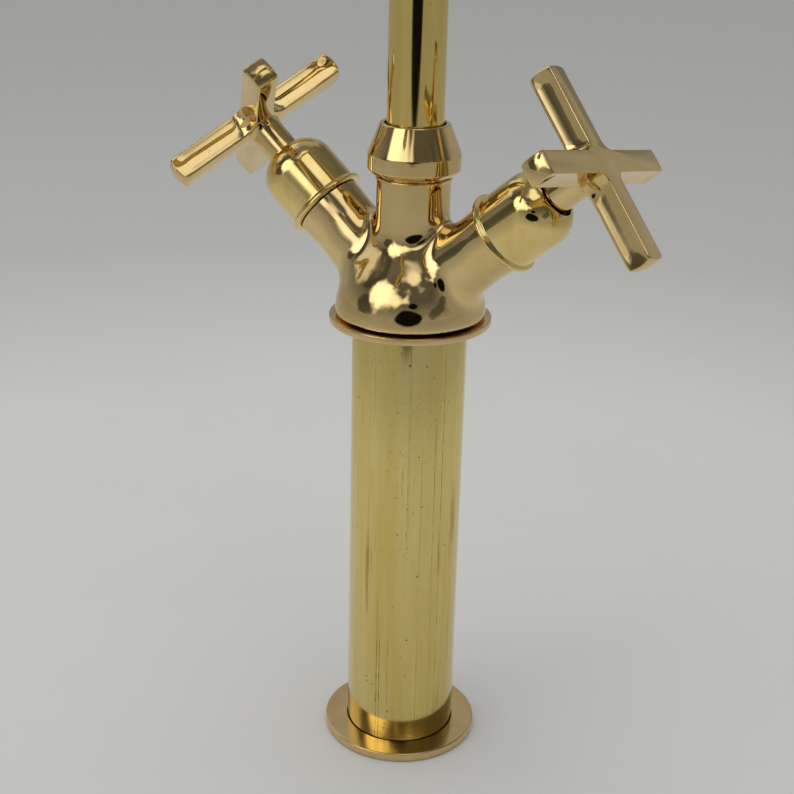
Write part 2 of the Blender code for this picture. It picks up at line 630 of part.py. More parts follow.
def ceramic_disc(name, base, thickness, axis, turn):
    profile = rod_profile(DISC_STACK_RADIUS, base, base + thickness)
    disc = turned(name, profile, CERAMIC, SMALL, False, axis)
    below, above = base - thickness, base + 2 * thickness
    for side in (-1, 1):
        port = hole(f"{name}_port_{side}", CERAMIC_PORT_RADIUS, below, above, FINE, axis)
        offset = side * CERAMIC_PORT_OFFSET
        port.location = (offset * cos(turn), offset * sin(turn), 0.0)
        boolean(disc, port)


def spindle_profile():
    radius = SPINDLE_RADIUS
    disc = DISC_STACK_RADIUS
    groove = radius - SPINDLE_GROOVE_DEPTH
    clip_low = HOUSING_TOP + FIT
    clip_high = clip_low + CLIP_THICKNESS
    ring_low = SPINDLE_RING_AT - SPINDLE_RING_HEIGHT / 2
    ring_high = SPINDLE_RING_AT + SPINDLE_RING_HEIGHT / 2
    profile = [(0.0, SPINDLE_END), (radius, SPINDLE_END)]
    for high, low in ((clip_high, clip_low), (ring_high, ring_low)):
        profile += [(radius, high + FIT), (groove, high + FIT), (groove, low - FIT), (radius, low - FIT)]
    foot = SPINDLE_BASE + SPINDLE_FOOT
    return profile + [(radius, foot), (disc, foot), (disc, SPINDLE_BASE), (0.0, SPINDLE_BASE)]


def make_spindle(name, axis):
    """The pieces that turn inside one valve."""
    spindle = turned(f"{name}_spindle", spindle_profile(), VALVE_BRASS, SMALL, False, axis)
    flat_depth = SPINDLE_RADIUS - SCREW_LENGTH / 2
    size = (SPINDLE_RADIUS, 4 * SPINDLE_RADIUS, SPINDLE_END)
    centre = (flat_depth + size[0] / 2, 0.0, STEM_START + 2 * SPINDLE_GROOVE_DEPTH + size[2] / 2)
    boolean(spindle, block(f"{name}_spindle_flat", size, centre, axis, SCREW_BEARING))
    ceramic_disc(f"{name}_moving_ceramic_disc", MOVING_DISC_BASE, MOVING_DISC_THICKNESS, axis, pi / 2)

    groove = SPINDLE_RADIUS - SPINDLE_GROOVE_DEPTH + FIT
    low = SPINDLE_RING_AT - SPINDLE_RING_HEIGHT / 2
    high = low + SPINDLE_RING_HEIGHT
    ring(f"{name}_spindle_ring", groove, SPINDLE_RADIUS, low, high, RUBBER, SMALL, axis)
    low = HOUSING_TOP + FIT
    clip = ring(f"{name}_spindle_clip", groove, CLIP_RADIUS, low, low + CLIP_THICKNESS, STEEL, SMALL, axis)
    mouth = (2 * CLIP_RADIUS, groove, 4 * CLIP_THICKNESS)
    boolean(clip, block(f"{name}_clip_mouth", mouth, (CLIP_RADIUS, 0.0, low), axis))


def cross_outline():
    """Outline of the four-armed cross, anticlockwise: bulging ends and filleted inner corners."""
    reach = HANDLE_SPAN / 2
    half = HANDLE_ARM_WIDTH / 2
    fillet = HANDLE_INNER_FILLET
    across = [-half, -half / 2, 0.0, half / 2, half]
    quarter = [(reach - HANDLE_END_BULGE * (y / half) ** 2, y) for y in across]
    centre = half + fillet
    count = 4
    for i in range(count + 1):
        angle = radians(270 - 90 * i / count)
        quarter.append((centre + fillet * cos(angle), centre + fillet * sin(angle)))
    points = []
    for k in range(4):
        turn = Matrix.Rotation(k * pi / 2, 2)
        points += [turn @ Vector(point) for point in quarter]
    return points


def make_handle(name, axis):
    """Cross handle with its stem in one casting, and the grub screw that holds it on the spindle."""
    curve = bpy.data.curves.new(f"{name}_cross", "CURVE")
    curve.dimensions = "2D"
    curve.fill_mode = "BOTH"
    curve.extrude = HANDLE_DEPTH / 2
    outline = cross_outline()
    spline = curve.splines.new("POLY")
    spline.points.add(len(outline) - 1)
    for point, place in zip(spline.points, outline):
        point.co = (place.x, place.y, 0.0, 1.0)
    spline.use_cyclic_u = True
    guide = bpy.data.objects.new(f"{name}_cross", curve)
    CUTTERS.objects.link(guide)
    bpy.context.view_layer.update()
    mesh = bpy.data.meshes.new_from_object(guide.evaluated_get(bpy.context.evaluated_depsgraph_get()))
    bpy.data.objects.remove(guide)
    shape = bmesh.new()
    shape.from_mesh(mesh)
    bmesh.ops.remove_doubles(shape, verts=shape.verts, dist=0.00001)
    bmesh.ops.dissolve_limit(shape, angle_limit=FLAT, verts=shape.verts, edges=shape.edges)
    shape.transform(Matrix.Translation((0.0, 0.0, HANDLE_BACK + HANDLE_DEPTH / 2)))
    bmesh.ops.recalc_face_normals(shape, faces=shape.faces)
    shape.to_mesh(mesh)
    shape.free()
    mesh.name = f"{name}_cross_handle"
    handle = link_mesh(f"{name}_cross_handle", mesh, CAST_BRASS)
    handle.parent = axis

    half_way = HANDLE_BACK + HANDLE_DEPTH / 2
    profile = [(0.0, half_way), (BOSS_RADIUS, half_way), (STEM_RADIUS, HANDLE_BACK - FIT)]
    profile += [(STEM_RADIUS, STEM_START), (0.0, STEM_START)]
    boolean(handle, turned(f"{name}_stem", profile, None, MEDIUM, False, axis), "UNION")
    socket = SPINDLE_RADIUS + FIT
    bore_end = STEM_START + STEM_SOCKET
    boolean(handle, hole(f"{name}_stem_bore", socket, STEM_START - socket, bore_end, SMALL, axis))

    tapped = turned(f"{name}_screw_hole", rod_profile(SCREW_RADIUS + FIT, 0.0, 2 * STEM_RADIUS), None, FINE)
    lay_along_radius(tapped, axis, 0.0)
    boolean(handle, tapped)
    screw = turned(f"{name}_handle_screw", rod_profile(SCREW_RADIUS, 0.0, SCREW_LENGTH), STEEL, FINE)
    lay_along_radius(screw, axis, STEM_RADIUS - FIT - SCREW_LENGTH)
    key = hole(f"{name}_screw_key", SCREW_SOCKET, SCREW_LENGTH / 2, 2 * SCREW_LENGTH, HEXAGON)
    lay_along_radius(key, axis, STEM_RADIUS - FIT - SCREW_LENGTH)
    boolean(screw, key)


def lay_along_radius(obj, axis, distance):
    """Turns a piece's Z outwards, square to the valve's axis, at the grub screw's height."""
    obj.parent = axis
    obj.location = (distance * cos(SCREW_BEARING), distance * sin(SCREW_BEARING), SCREW_AT)
    obj.rotation_euler = (0.0, pi / 2, SCREW_BEARING)


def main():
    make_base()
    make_upper_flange()
    hot_axis = axis_empty("hot_valve_axis", CROSSING_HEIGHT, -ARM_TILT)
    cold_axis = axis_empty("cold_valve_axis", CROSSING_HEIGHT, ARM_TILT)
    make_mixer_body(hot_axis, cold_axis)
    make_risers()
    make_collar()
    make_spout(axis_empty("spout_axis", NECK_TOP))
    valves = (("hot", hot_axis, -ARM_TILT, HOT_REST), ("cold", cold_axis, ARM_TILT, COLD_REST))
    for name, axis, tilt, rest in valves:
        make_cartridge(name, axis)
        turning = axis_empty(f"{name}_handle_axis", CROSSING_HEIGHT, tilt, rest)
        make_spindle(name, turning)
        make_handle(name, turning)


main()
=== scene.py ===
"""Looks of the bathroom mixer faucet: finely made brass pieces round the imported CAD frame.

Units are metres, in the CAD's own frame. Sizes come from the frame's boxes and joints where they can.
"""

import json
from math import atan2, cos, degrees, pi, radians, sin, tan

import bmesh
import bpy
import numpy as np
from mathutils import Matrix, Vector


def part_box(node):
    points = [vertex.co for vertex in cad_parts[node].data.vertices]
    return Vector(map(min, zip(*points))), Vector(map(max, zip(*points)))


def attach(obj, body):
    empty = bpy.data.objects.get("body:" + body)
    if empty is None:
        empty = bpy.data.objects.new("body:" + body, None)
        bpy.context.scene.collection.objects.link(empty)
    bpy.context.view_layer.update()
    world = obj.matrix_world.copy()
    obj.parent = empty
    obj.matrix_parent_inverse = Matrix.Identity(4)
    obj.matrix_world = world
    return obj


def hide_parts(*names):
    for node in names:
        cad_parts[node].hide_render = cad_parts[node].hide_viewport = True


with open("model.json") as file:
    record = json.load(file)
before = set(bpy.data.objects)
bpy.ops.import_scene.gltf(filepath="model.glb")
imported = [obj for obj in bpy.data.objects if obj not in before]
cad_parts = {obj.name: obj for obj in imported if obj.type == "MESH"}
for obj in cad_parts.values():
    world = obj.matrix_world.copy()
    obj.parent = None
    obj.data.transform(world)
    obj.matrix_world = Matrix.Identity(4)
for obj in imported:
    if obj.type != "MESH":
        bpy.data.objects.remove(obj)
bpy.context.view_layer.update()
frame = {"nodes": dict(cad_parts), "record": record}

# Camera: its bearing round the column, its horizontal distance from the column's axis, and its aim
CAMERA_AZIMUTH = radians(29.5)
CAMERA_DISTANCE = 0.4705
CAMERA_HEIGHT = 0.3225
CAMERA_PITCH = radians(-21.8)
CAMERA_PAN = radians(-0.47)
CAMERA_ROLL = radians(1.4)
CAMERA_LENS = 64.8

# Floor and room
# Paper tones with painted light: painted lighter near the column, painted darker further out
FLOOR_PAINTED_LIT_NEAR = (0.578, 0.578, 0.565)
FLOOR_PAINTED_DIM_FAR = (0.455, 0.455, 0.445)
FLOOR_PAINTED_FALLOFF = (0.36, 0.68)  # distances from the column over which the painted light falloff takes the paper from its painted lit tone to its painted dim tone
FLOOR_SIZE = 80.0
FLOOR_DROP = 0.0002  # play between the floor and the deck face
WORLD_FILL = 0.72  # level of the room as the matt floor receives it
BACKDROP = 0.311
ROOM_RAMP = ((0.0, 0.37), (0.20, 0.24), (0.5, 0.10), (1.0, 0.20))  # sine of the rise, level

# What the polished metal mirrors: bearing, rise, inner and outer radius (degrees), share, level
ROOM_AREAS = (
    (-62, 48, 14, 36, 0.80, 0.11),
    (-112, 30, 9, 26, 1.0, 1.90),
    (-38, 66, 8, 24, 0.85, 1.30),
    (170, 40, 10, 30, 0.75, 1.05),
    (-136, 6, 6, 15, 0.85, 0.05),
    (-84, 30, 4, 17, 0.9, 1.60),
    (-150, 44, 6, 18, 0.80, 0.06),
    (119, 42, 12, 34, 0.80, 0.46),
    (15, 22, 8, 20, 0.85, 0.07),
    (62, 14, 10, 26, 0.75, 0.42),
    (-20, 14, 5, 14, 0.80, 0.06),
)
ROOM_RAGGED = 0.34  # how far the areas' outlines wander

# Dark cards: name, bearing from the camera's (degrees), distance, height of the middle, size
DARK_CARDS = (
    ("low_card", -3, 0.62, 0.215, (0.54, 0.32)),
    ("high_card", 4, 0.52, 0.38, (0.15, 0.11)),
)

# Turned pieces
STEPS = 144
ROUGH_STEPS = 96  # for the cutters, and for the core, whose skin is made anew
EDGE = 0.0003  # radius of a broken edge; also the play between pieces
NEAR = 0.0001  # points that lie this close to a size count as having it
END_BAND = 0.0005  # points this close to an end belong to it
RIM_BAND = 0.001
DECK_CHAMFER = 0.0005
BODY_CHAMFER = 0.0004

# Collar nut
COLLAR_TOP_ROUND = 0.0005
COLLAR_CONE_ROUND = 0.0016
COLLAR_BAND_ROUND = 0.0007
COLLAR_UNDERCUT = 0.0012
COLLAR_UNDERCUT_RISE = 0.0006
COLLAR_FOOT_ROUND = 0.0004

# Cross handles
HANDLE_ARM_HALF = 0.0041
HANDLE_DISH = 0.00045  # hollow of the arms' sides
HANDLE_DISH_END = 0.0042  # length over which the hollow fades out at the tip
HANDLE_FILLET_FRONT = 0.0036
HANDLE_FILLET_BACK = 0.0070
HANDLE_END_BULGE = 0.0006  # how far a tip's middle stands out, seen along the stem
HANDLE_TIP_BULGE = 0.0009  # how far it stands out, seen from the side
HANDLE_BACK_ROUND = 0.0011
HANDLE_BACK_INSET = 0.6  # share of that round by which the back is smaller
HANDLE_EDGE = 0.00035
STEM_RADIUS = 0.0060
STEM_FLARE = 0.0032
STEM_FLARE_TURN = 30  # degrees of the flare's arc
STEM_FLARE_SUNK = 0.0012  # how far the flare's end runs into the cross
STEM_WALL = 0.0014
STEM_BOSS = 0.0028  # how far the stem's root stands out inside the cross

# Share of the brown marks on a tarnished and on a clean tube
MARKED_TUBE = 1.0
CLEAN_TUBE = 0.25

# Casting
BELL_RADIUS = 0.0261
BELL_HEIGHT = 0.0270
BELL_SKIRT = 0.0225  # only the bell lies further out than this
NECK_RADIUS = 0.0125
NECK_END = 0.2135
ARM_RADIUS = 0.0123
CAST_SPARE = 0.004  # metal past the machined ends, which is cut off
CAST_GRAIN = 0.0007
ARM_WAIST = 0.0004  # how much slimmer an arm is, part of the way along it
ARM_WAIST_AT = 0.035
ARM_WAIST_LENGTH = 0.006
ARM_BLEND = 0.0050
NECK_BLEND = 0.0060
LIP_ROUND = 0.0009
RELAX_SWEEPS = 10
RELAX_SHARE = 0.6  # share of the way to its neighbours' mean that a vertex goes at a time
RELAX_REACH = 0.002  # furthest that a vertex is pulled at a time

# Bead round the neck's top
BEAD_RISE = 0.0007
BEAD_ROLL = 0.00055
BEAD_FOOT = 0.0008

# Caps
CAP_RADIUS = 0.0132
CAP_DOME_RADIUS = 0.0100
CAP_WALL = 0.0011
CAP_LIP_HEIGHT = 0.0018
CAP_GROOVE_RISE = 0.0007
CAP_GROOVE_ROUND = 0.0004
CAP_HOLE_BAND = 0.0004  # points this close to the top belong to the hole's edge
CAP_HOLE_BULGE = 0.0001

# Spout
SPOUT_WALL = 0.0012
SPOUT_STEPS = 96
SPOUT_BEND_STEPS = 64

# Outlet ring
RING_ROUND = 0.0008
RING_GROOVE = 0.0005
RING_GROOVE_RISE = 0.0022
RING_GROOVE_WIDTH = 0.0004  # of the groove's floor, and of each of its sloping sides
RING_GROOVE_ROUND = 0.0002

# Colours of what is on the brass
PINHOLE = (0.10, 0.06, 0.03)
SPECK = (0.20, 0.11, 0.03)
TARNISH_LINE = (0.42, 0.29, 0.07)
TARNISH_STREAK = (0.17, 0.09, 0.022)

# Streaks on the column: bearing (degrees), half width (radians), lower and upper end, strength
COLUMN_STREAKS = (
    (-87.2, 0.011, 0.004, 0.060, 1.0),
    (-84.0, 0.011, 0.004, 0.048, 1.0),
    (-21.1, 0.010, 0.012, 0.155, 0.7),
    (-75.0, 0.010, 0.004, 0.05, 0.5),
    (-44.0, 0.010, 0.002, 0.120, 0.45),
    (-100.0, 0.008, 0.06, 0.16, 0.3),
    (-58.0, 0.008, 0.085, 0.160, 0.55),
    (-56.5, 0.006, 0.09, 0.15, 0.45),
    (-30.0, 0.012, 0.04, 0.13, 0.5),
    (-118.0, 0.010, 0.01, 0.11, 0.5),
)


def node_points(name):
    data = frame["nodes"][name].data
    points = np.empty(len(data.vertices) * 3)
    data.vertices.foreach_get("co", points)
    return points.reshape(-1, 3)


def valve_matrix(side):
    """Frame of one valve: its origin on the joint, Z outwards along the joint's axis, Y as the world's."""
    joint = next(j for j in frame["record"]["behaviour"]["joints"] if j["name"] == f"{side}_handle_turn")
    axis = Vector(joint["axis"]).normalized()
    if axis.z < 0:
        axis = -axis
    across = Vector((0.0, 1.0, 0.0)).cross(axis)
    turn = Matrix((across, (0.0, 1.0, 0.0), axis)).transposed()
    return Matrix.Translation(joint["pos_m"]) @ turn.to_4x4()


def in_frame(points, matrix):
    """(radius, height, angle) of each point round a matrix's Z axis."""
    inverse = np.array(matrix.inverted())
    local = points @ inverse[:3, :3].T + inverse[:3, 3]
    return np.hypot(local[:, 0], local[:, 1]), local[:, 2], np.arctan2(local[:, 1], local[:, 0])


def about_z(points):
    """(radius, height) of each point round the Z axis."""
    return np.hypot(points[:, 0], points[:, 1]), points[:, 2]


# ---------------------------------------------------------------- meshes


def rounded(corners, count=5):
    """A closed outline whose (x, y, fillet) corners are rounded by arcs."""
    points = []
    for i, (x, y, fillet) in enumerate(corners):
        here = Vector((x, y))
        if fillet <= 0:
            points.append(here)
            continue
        back = (Vector(corners[i - 1][:2]) - here).normalized()
        ahead = (Vector(corners[(i + 1) % len(corners)][:2]) - here).normalized()
        half = back.angle(ahead) / 2
        reach = fillet / tan(half)
        centre = here + (back + ahead).normalized() * (fillet / sin(half))
        first = here + back * reach - centre
        turn = first.angle_signed(here + ahead * reach - centre)
        points += [centre + Matrix.Rotation(-turn * k / count, 2) @ first for k in range(count + 1)]
    return [(p.x, p.y) for p in points]


def new_object(name, mesh, matrix=None):
    obj = bpy.data.objects.new(name, mesh)
    bpy.context.scene.collection.objects.link(obj)
    if matrix is not None:
        mesh.transform(matrix)
    return obj


def shade(mesh, angle=28):
    mesh.shade_smooth()
    mesh.set_sharp_from_angle(angle=radians(angle))


def lathe(name, outline, matrix=None, angle=28):
    """A closed ring turned about Z from its (radius, height) outline, which runs down its outer side."""
    count = len(outline)
    angles = [2 * pi * k / STEPS for k in range(STEPS)]
    points = [(r * cos(a), r * sin(a), z) for a in angles for r, z in outline]
    faces = []
    for k in range(STEPS):
        here, after = k * count, (k + 1) % STEPS * count
        for i in range(count):
            j = (i + 1) % count
            faces.append((here + i, here + j, after + j, after + i))
    mesh = bpy.data.meshes.new(name)
    mesh.from_pydata(points, [], faces)
    mesh.update()
    fix_normals(mesh)
    shade(mesh, angle)
    return new_object(name, mesh, matrix)


def fix_normals(mesh):
    shape = bmesh.new()
    shape.from_mesh(mesh)
    bmesh.ops.recalc_face_normals(shape, faces=shape.faces)
    shape.to_mesh(mesh)
    shape.free()


def apply_modifiers(obj):
    graph = bpy.context.evaluated_depsgraph_get()
    mesh = bpy.data.meshes.new_from_object(obj.evaluated_get(graph))
    obj.modifiers.clear()
    obj.data = mesh


def union(obj, *others):
    for other in others:
        modifier = obj.modifiers.new("join", "BOOLEAN")
        modifier.operation = "UNION"
        modifier.object = other
        bpy.context.view_layer.update()
        apply_modifiers(obj)
        bpy.data.objects.remove(other)


# ---------------------------------------------------------------- pieces


def flange(name, node, chamfer):
    """A turned ring with a broken upper edge."""
    radius, height = about_z(node_points(node))
    low, high, outer, inner = height.min(), height.max(), radius.max(), radius.min()
    if node == "upper_flange":
        low = height[radius > outer - RIM_BAND].min()
    outline = rounded([(inner, high, 0), (outer, high, chamfer), (outer, low, chamfer), (inner, low, 0)])
    return lathe(name, outline)


def tube(name, node):
    radius, height = about_z(node_points(node))
    edges = [(radius.min(), height.max(), EDGE), (radius.max(), height.max(), EDGE)]
    edges += [(radius.max(), height.min(), EDGE), (radius.min(), height.min(), EDGE)]
    return lathe(name, rounded(edges, 3))


def collar():
    """Conical spout nut: rounded top edge, cone, plain band and a rounded undercut."""
    radius, height = about_z(node_points("spout_collar_nut"))
    low, high, outer, bore = height.min(), height.max(), radius.max(), radius.min()
    top = radius[height > high - END_BAND].max()
    thread = radius[height < low + NEAR].min()
    foot = radius[height < low + NEAR].max()
    shoulder = height[(radius < bore + NEAR) & (height < high - RIM_BAND)].min()
    band = sorted(set(np.round(height[radius > outer - NEAR], 5)))
    edges = [(bore, high, EDGE), (top, high, COLLAR_TOP_ROUND)]
    edges += [(outer, band[-1], COLLAR_CONE_ROUND), (outer, band[0], COLLAR_BAND_ROUND)]
    edges += [(outer - COLLAR_UNDERCUT, low + COLLAR_UNDERCUT_RISE, COLLAR_UNDERCUT_RISE)]
    edges += [(foot, low, COLLAR_FOOT_ROUND), (thread, low, 0)]
    edges += [(thread, shoulder, 0), (bore, shoulder, 0)]
    return lathe("collar_nut", rounded(edges, 8), angle=40)


def bonnet_cap(side):
    """Domed cap with a rolled lip and a round hole for the stem."""
    matrix = valve_matrix(side)
    radius, height, _ = in_frame(node_points(f"{side}_bonnet_cap"), matrix)
    base, top, lip_radius = height.min(), height.max(), radius.max()
    hole = radius[height > top - CAP_HOLE_BAND].min()
    lip = CAP_LIP_HEIGHT / 2
    inner = CAP_RADIUS - CAP_WALL
    centre = CAP_RADIUS - CAP_DOME_RADIUS
    shoulder = top - (CAP_DOME_RADIUS**2 - (hole - centre) ** 2) ** 0.5
    outline = dome_arc(centre, shoulder, CAP_DOME_RADIUS, hole + EDGE, 20)
    groove = base + CAP_LIP_HEIGHT + CAP_GROOVE_RISE
    outline += [(CAP_RADIUS, groove + CAP_GROOVE_ROUND)]
    outline += arc_points(CAP_RADIUS + CAP_GROOVE_ROUND, groove, CAP_GROOVE_ROUND, 180, 262, 4)
    outline += arc_points(lip_radius - lip, base + lip, lip, 75, -90, 10)
    outline += [(inner, base)]
    outline += dome_arc(centre, shoulder, CAP_DOME_RADIUS - CAP_WALL, hole, 12)[::-1]
    outline += [(hole - CAP_HOLE_BULGE, (outline[-1][1] + outline[0][1]) / 2)]
    return lathe(f"{side}_cap", outline, matrix, angle=50)


def arc_points(centre_r, centre_z, radius, start, end, count):
    angles = [radians(start + (end - start) * i / count) for i in range(count + 1)]
    return [(centre_r + radius * cos(a), centre_z + radius * sin(a)) for a in angles]


def dome_arc(centre, shoulder, radius, hole, count):
    """A dome's outline from its hole's edge down to where it becomes a cylinder."""
    across = hole - centre
    reach = degrees(atan2((radius**2 - across**2) ** 0.5, across))
    return arc_points(centre, shoulder, radius, reach, 0, count)


def cross_layer(half, fillet, reach, dish):
    """One level of the cross: a quarter's outline, repeated, with the same points at every level."""
    tip_steps, side_steps, fillet_steps = 14, 16, 10
    quarter = []
    tip = half - min(HANDLE_EDGE, half / 4)
    for i in range(tip_steps + 1):
        y = -tip + 2 * tip * i / tip_steps
        quarter.append((reach - HANDLE_END_BULGE * (y / half) ** 2, y))
    corner = reach - HANDLE_END_BULGE
    end = half + fillet
    shoulder = corner - HANDLE_EDGE
    down = []
    for i in range(side_steps + 1):
        x = shoulder + (end - shoulder) * i / side_steps
        share = min(max((shoulder - x) / HANDLE_DISH_END, 0.0), 1.0)
        down.append((x, half - dish * share * share * (3 - 2 * share)))
    quarter += down
    sunk = half - dish
    bend = end - sunk
    for i in range(1, fillet_steps):
        angle = 3 * pi / 2 - pi / 2 * i / fillet_steps
        quarter.append((end + bend * cos(angle), end + bend * sin(angle)))
    quarter += [(y, x) for x, y in down[::-1]]
    points = []
    for k in range(4):
        turn = Matrix.Rotation(k * pi / 2, 2)
        points += [tuple(turn @ Vector(p)) for p in quarter]
    return points


def handle_levels(face, back, reach):
    """(height, half width, inner fillet, reach, dish) of each level, from the satin face to the back."""
    levels = []
    side_steps = 14
    depth = face - back
    straight = depth - HANDLE_EDGE - HANDLE_BACK_ROUND
    drops = [HANDLE_EDGE * share for share in (0.0, 0.08, 0.25, 0.55, 1.0)]
    drops += [HANDLE_EDGE + straight * i / side_steps for i in range(1, side_steps)]
    drops += [depth - HANDLE_BACK_ROUND * (1 - share) for share in (0.0, 0.25, 0.5, 0.75, 0.92, 1.0)]
    for drop in drops:
        share = drop / depth
        front = max(1 - drop / HANDLE_EDGE, 0.0)
        rear = max(1 - (depth - drop) / HANDLE_BACK_ROUND, 0.0)
        inset = HANDLE_EDGE * (1 - (1 - front**2) ** 0.5)
        inset += HANDLE_BACK_INSET * HANDLE_BACK_ROUND * (1 - (1 - rear**2) ** 0.5)
        fillet = HANDLE_FILLET_FRONT + (HANDLE_FILLET_BACK - HANDLE_FILLET_FRONT) * share**1.5
        bulge = HANDLE_TIP_BULGE * 4 * share * (1 - share)
        dish = HANDLE_DISH * 4 * share * (1 - share)
        levels.append((face - drop, HANDLE_ARM_HALF - inset, fillet + inset, reach + bulge - inset, dish))
    return levels


def handle(side):
    """Cross handle: satin flat face, dished sides, crowned tips, and a stem that flares into the back."""
    matrix = valve_matrix(side)
    radius, height, angle = in_frame(node_points(f"{side}_cross_handle"), matrix)
    face, start, far = height.max(), height.min(), radius.max()
    cross = radius > 0.8 * far
    back = height[cross].min()
    rest = np.angle(np.sum(radius[cross] ** 4 * np.exp(4j * angle[cross]))) / 4
    reach = (far**2 - HANDLE_ARM_HALF**2) ** 0.5 + HANDLE_END_BULGE
    levels = handle_levels(face, back, reach)
    points, faces = [], []
    for z, half, fillet, end, dish in levels:
        points += [(x, y, z) for x, y in cross_layer(half, fillet, end, dish)]
    count = len(points) // len(levels)
    for k in range(len(levels) - 1):
        for i in range(count):
            j = (i + 1) % count
            faces.append((k * count + i, (k + 1) * count + i, (k + 1) * count + j, k * count + j))
    faces.append(tuple(range(count)))
    faces.append(tuple(range((len(levels) - 1) * count, len(levels) * count))[::-1])
    mesh = bpy.data.meshes.new(f"{side}_cross")
    mesh.from_pydata(points, [], faces)
    fix_normals(mesh)
    cross_piece = new_object(f"{side}_cross", mesh, matrix @ Matrix.Rotation(rest, 4, "Z"))

    middle = (face + back) / 2
    bore = STEM_RADIUS - STEM_WALL
    flare_middle = back - STEM_FLARE + STEM_FLARE_SUNK
    flare = arc_points(STEM_RADIUS + STEM_FLARE, flare_middle, STEM_FLARE, 180 - STEM_FLARE_TURN, 180, 6)
    outline = [(bore, middle), (STEM_RADIUS + STEM_BOSS, middle)] + flare
    outline += [(STEM_RADIUS, start + EDGE), (STEM_RADIUS - EDGE, start), (bore, start)]
    stem = lathe(f"{side}_stem", outline, matrix)
    union(cross_piece, stem)
    mesh = cross_piece.data
    shade(mesh, 32)
    axis = (matrix.to_3x3() @ Vector((0, 0, 1))).normalized()
    origin = matrix.translation
    for polygon in mesh.polygons:
        flat = polygon.normal.dot(axis) > 0.999
        front = flat and (polygon.center - origin).dot(axis) > face - NEAR
        polygon.material_index = 1 if front else 0
    return cross_piece


def smooth_min(a, b, blend):
    h = np.clip(0.5 + 0.5 * (b - a) / blend, 0.0, 1.0)
    return b + (a - b) * h - blend * h * (1.0 - h)


def casting_distance(points, floor, arms):
    """Signed distance, near the surface, to the blended bell, arms and neck."""
    x, y, z = points[:, 0], points[:, 1], points[:, 2]
    around = np.hypot(x, y)
    height = np.maximum(z - floor, 0.0)
    scaled = np.hypot(around / BELL_RADIUS, height / BELL_HEIGHT)
    slope = np.hypot(around / BELL_RADIUS**2, height / BELL_HEIGHT**2) / np.maximum(scaled, 1e-6)
    bell = (scaled - 1.0) / np.maximum(slope, 1e-6)
    side = []
    for matrix in arms:
        radius, along, _ = in_frame(points, matrix)
        waist = ARM_WAIST * np.exp(-(((along - ARM_WAIST_AT) / ARM_WAIST_LENGTH) ** 2))
        side.append(np.maximum(radius - ARM_RADIUS + waist, -along))
    both = smooth_min(side[0], side[1], ARM_BLEND)
    shape = smooth_min(bell, both, ARM_BLEND)
    neck = np.maximum(around - NECK_RADIUS, floor + BELL_HEIGHT / 2 - z)
    return smooth_min(shape, neck, NECK_BLEND)


def casting():
    """The mixer body's cast skin, projected onto one smooth blended surface, with its machined ends."""
    points = node_points("mixer_body")
    radius, height = about_z(points)
    floor = height[radius > BELL_SKIRT].min()
    arms = [valve_matrix("hot"), valve_matrix("cold")]
    arm_end = max(in_frame(points, arms[0])[1])

    dome = [(BELL_RADIUS * cos(a), floor + BELL_HEIGHT * sin(a)) for a in dome_steps()]
    core = solid_turned("core", dome + [(BELL_RADIUS, floor - CAST_SPARE)])
    tools = []
    for matrix in arms:
        outline = [(ARM_RADIUS, arm_end + CAST_SPARE), (ARM_RADIUS, 0.0)]
        tools.append(solid_turned("arm", outline, matrix))
    outline = [(NECK_RADIUS, NECK_END + CAST_SPARE), (NECK_RADIUS, floor + CAST_SPARE)]
    tools.append(solid_turned("neck", outline))
    union(core, *tools)
    remesh = core.modifiers.new("skin", "REMESH")
    remesh.mode = "VOXEL"
    remesh.voxel_size = CAST_GRAIN
    bpy.context.view_layer.update()
    apply_modifiers(core)
    mesh = core.data
    cleaned = relax_onto(mesh, floor, arms)
    mesh.vertices.foreach_set("co", cleaned.ravel())
    mesh.update()
    cut(core, Matrix.Translation((0, 0, floor)), -1)
    for matrix in arms:
        cut(core, matrix @ Matrix.Translation((0, 0, arm_end)), 1)
    cut(core, Matrix.Translation((0, 0, NECK_END)), 1)
    round_lip(core.data, floor)
    machine(core, points, floor, arms, arm_end)
    bead = ring_bead(points)
    core.name = core.data.name = "body_casting"
    shade(core.data, 40)
    return core, bead


def machine(core, points, floor, arms, arm_end):
    """Turns the shank under the bell, and bores the neck, the arms and the feed tubes' sockets."""
    radius, height = about_z(points)
    low, top = height.min(), height.max()
    shank = radius[height < low + EDGE].max()
    spout_bore = radius[height > top - EDGE].min()
    # A bore ends at the innermost of the body's points that lie at its radius.
    spout_floor = height[(abs(radius - spout_bore) < EDGE) & (height > floor)].min()
    union(core, solid_turned("shank", [(shank, floor + 2 * LIP_ROUND), (shank, low)]))
    cutters = [solid_turned("spout_bore", [(spout_bore, top), (spout_bore, spout_floor)])]
    for matrix in arms:
        reach, along, _ = in_frame(points, matrix)
        bore = reach[along > arm_end - EDGE].min()
        seat = along[(abs(reach - bore) < EDGE) & (along > arm_end / 3)].min()
        cutters.append(solid_turned("valve_bore", [(bore, arm_end + bore), (bore, seat)], matrix))
    for side in ("hot", "cold"):
        tube_low, tube_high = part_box(f"{side}_riser_tube")
        middle = (tube_low[0] + tube_high[0]) / 2
        socket = (tube_high[0] - tube_low[0]) / 2 + EDGE
        outline = [(socket, tube_high[2] + EDGE), (socket, low - socket)]
        cutters.append(solid_turned("socket", outline, Matrix.Translation((middle, 0, 0))))
    for cutter in cutters:
        bored = core.modifiers.new("bore", "BOOLEAN")
        bored.operation = "DIFFERENCE"
        bored.solver = "EXACT"
        bored.object = cutter
    bpy.context.view_layer.update()
    apply_modifiers(core)
    for cutter in cutters:
        bpy.data.objects.remove(cutter)


def dome_steps():
    count = 24
    return [pi / 2 * (1 - i / count) for i in range(count + 1)]


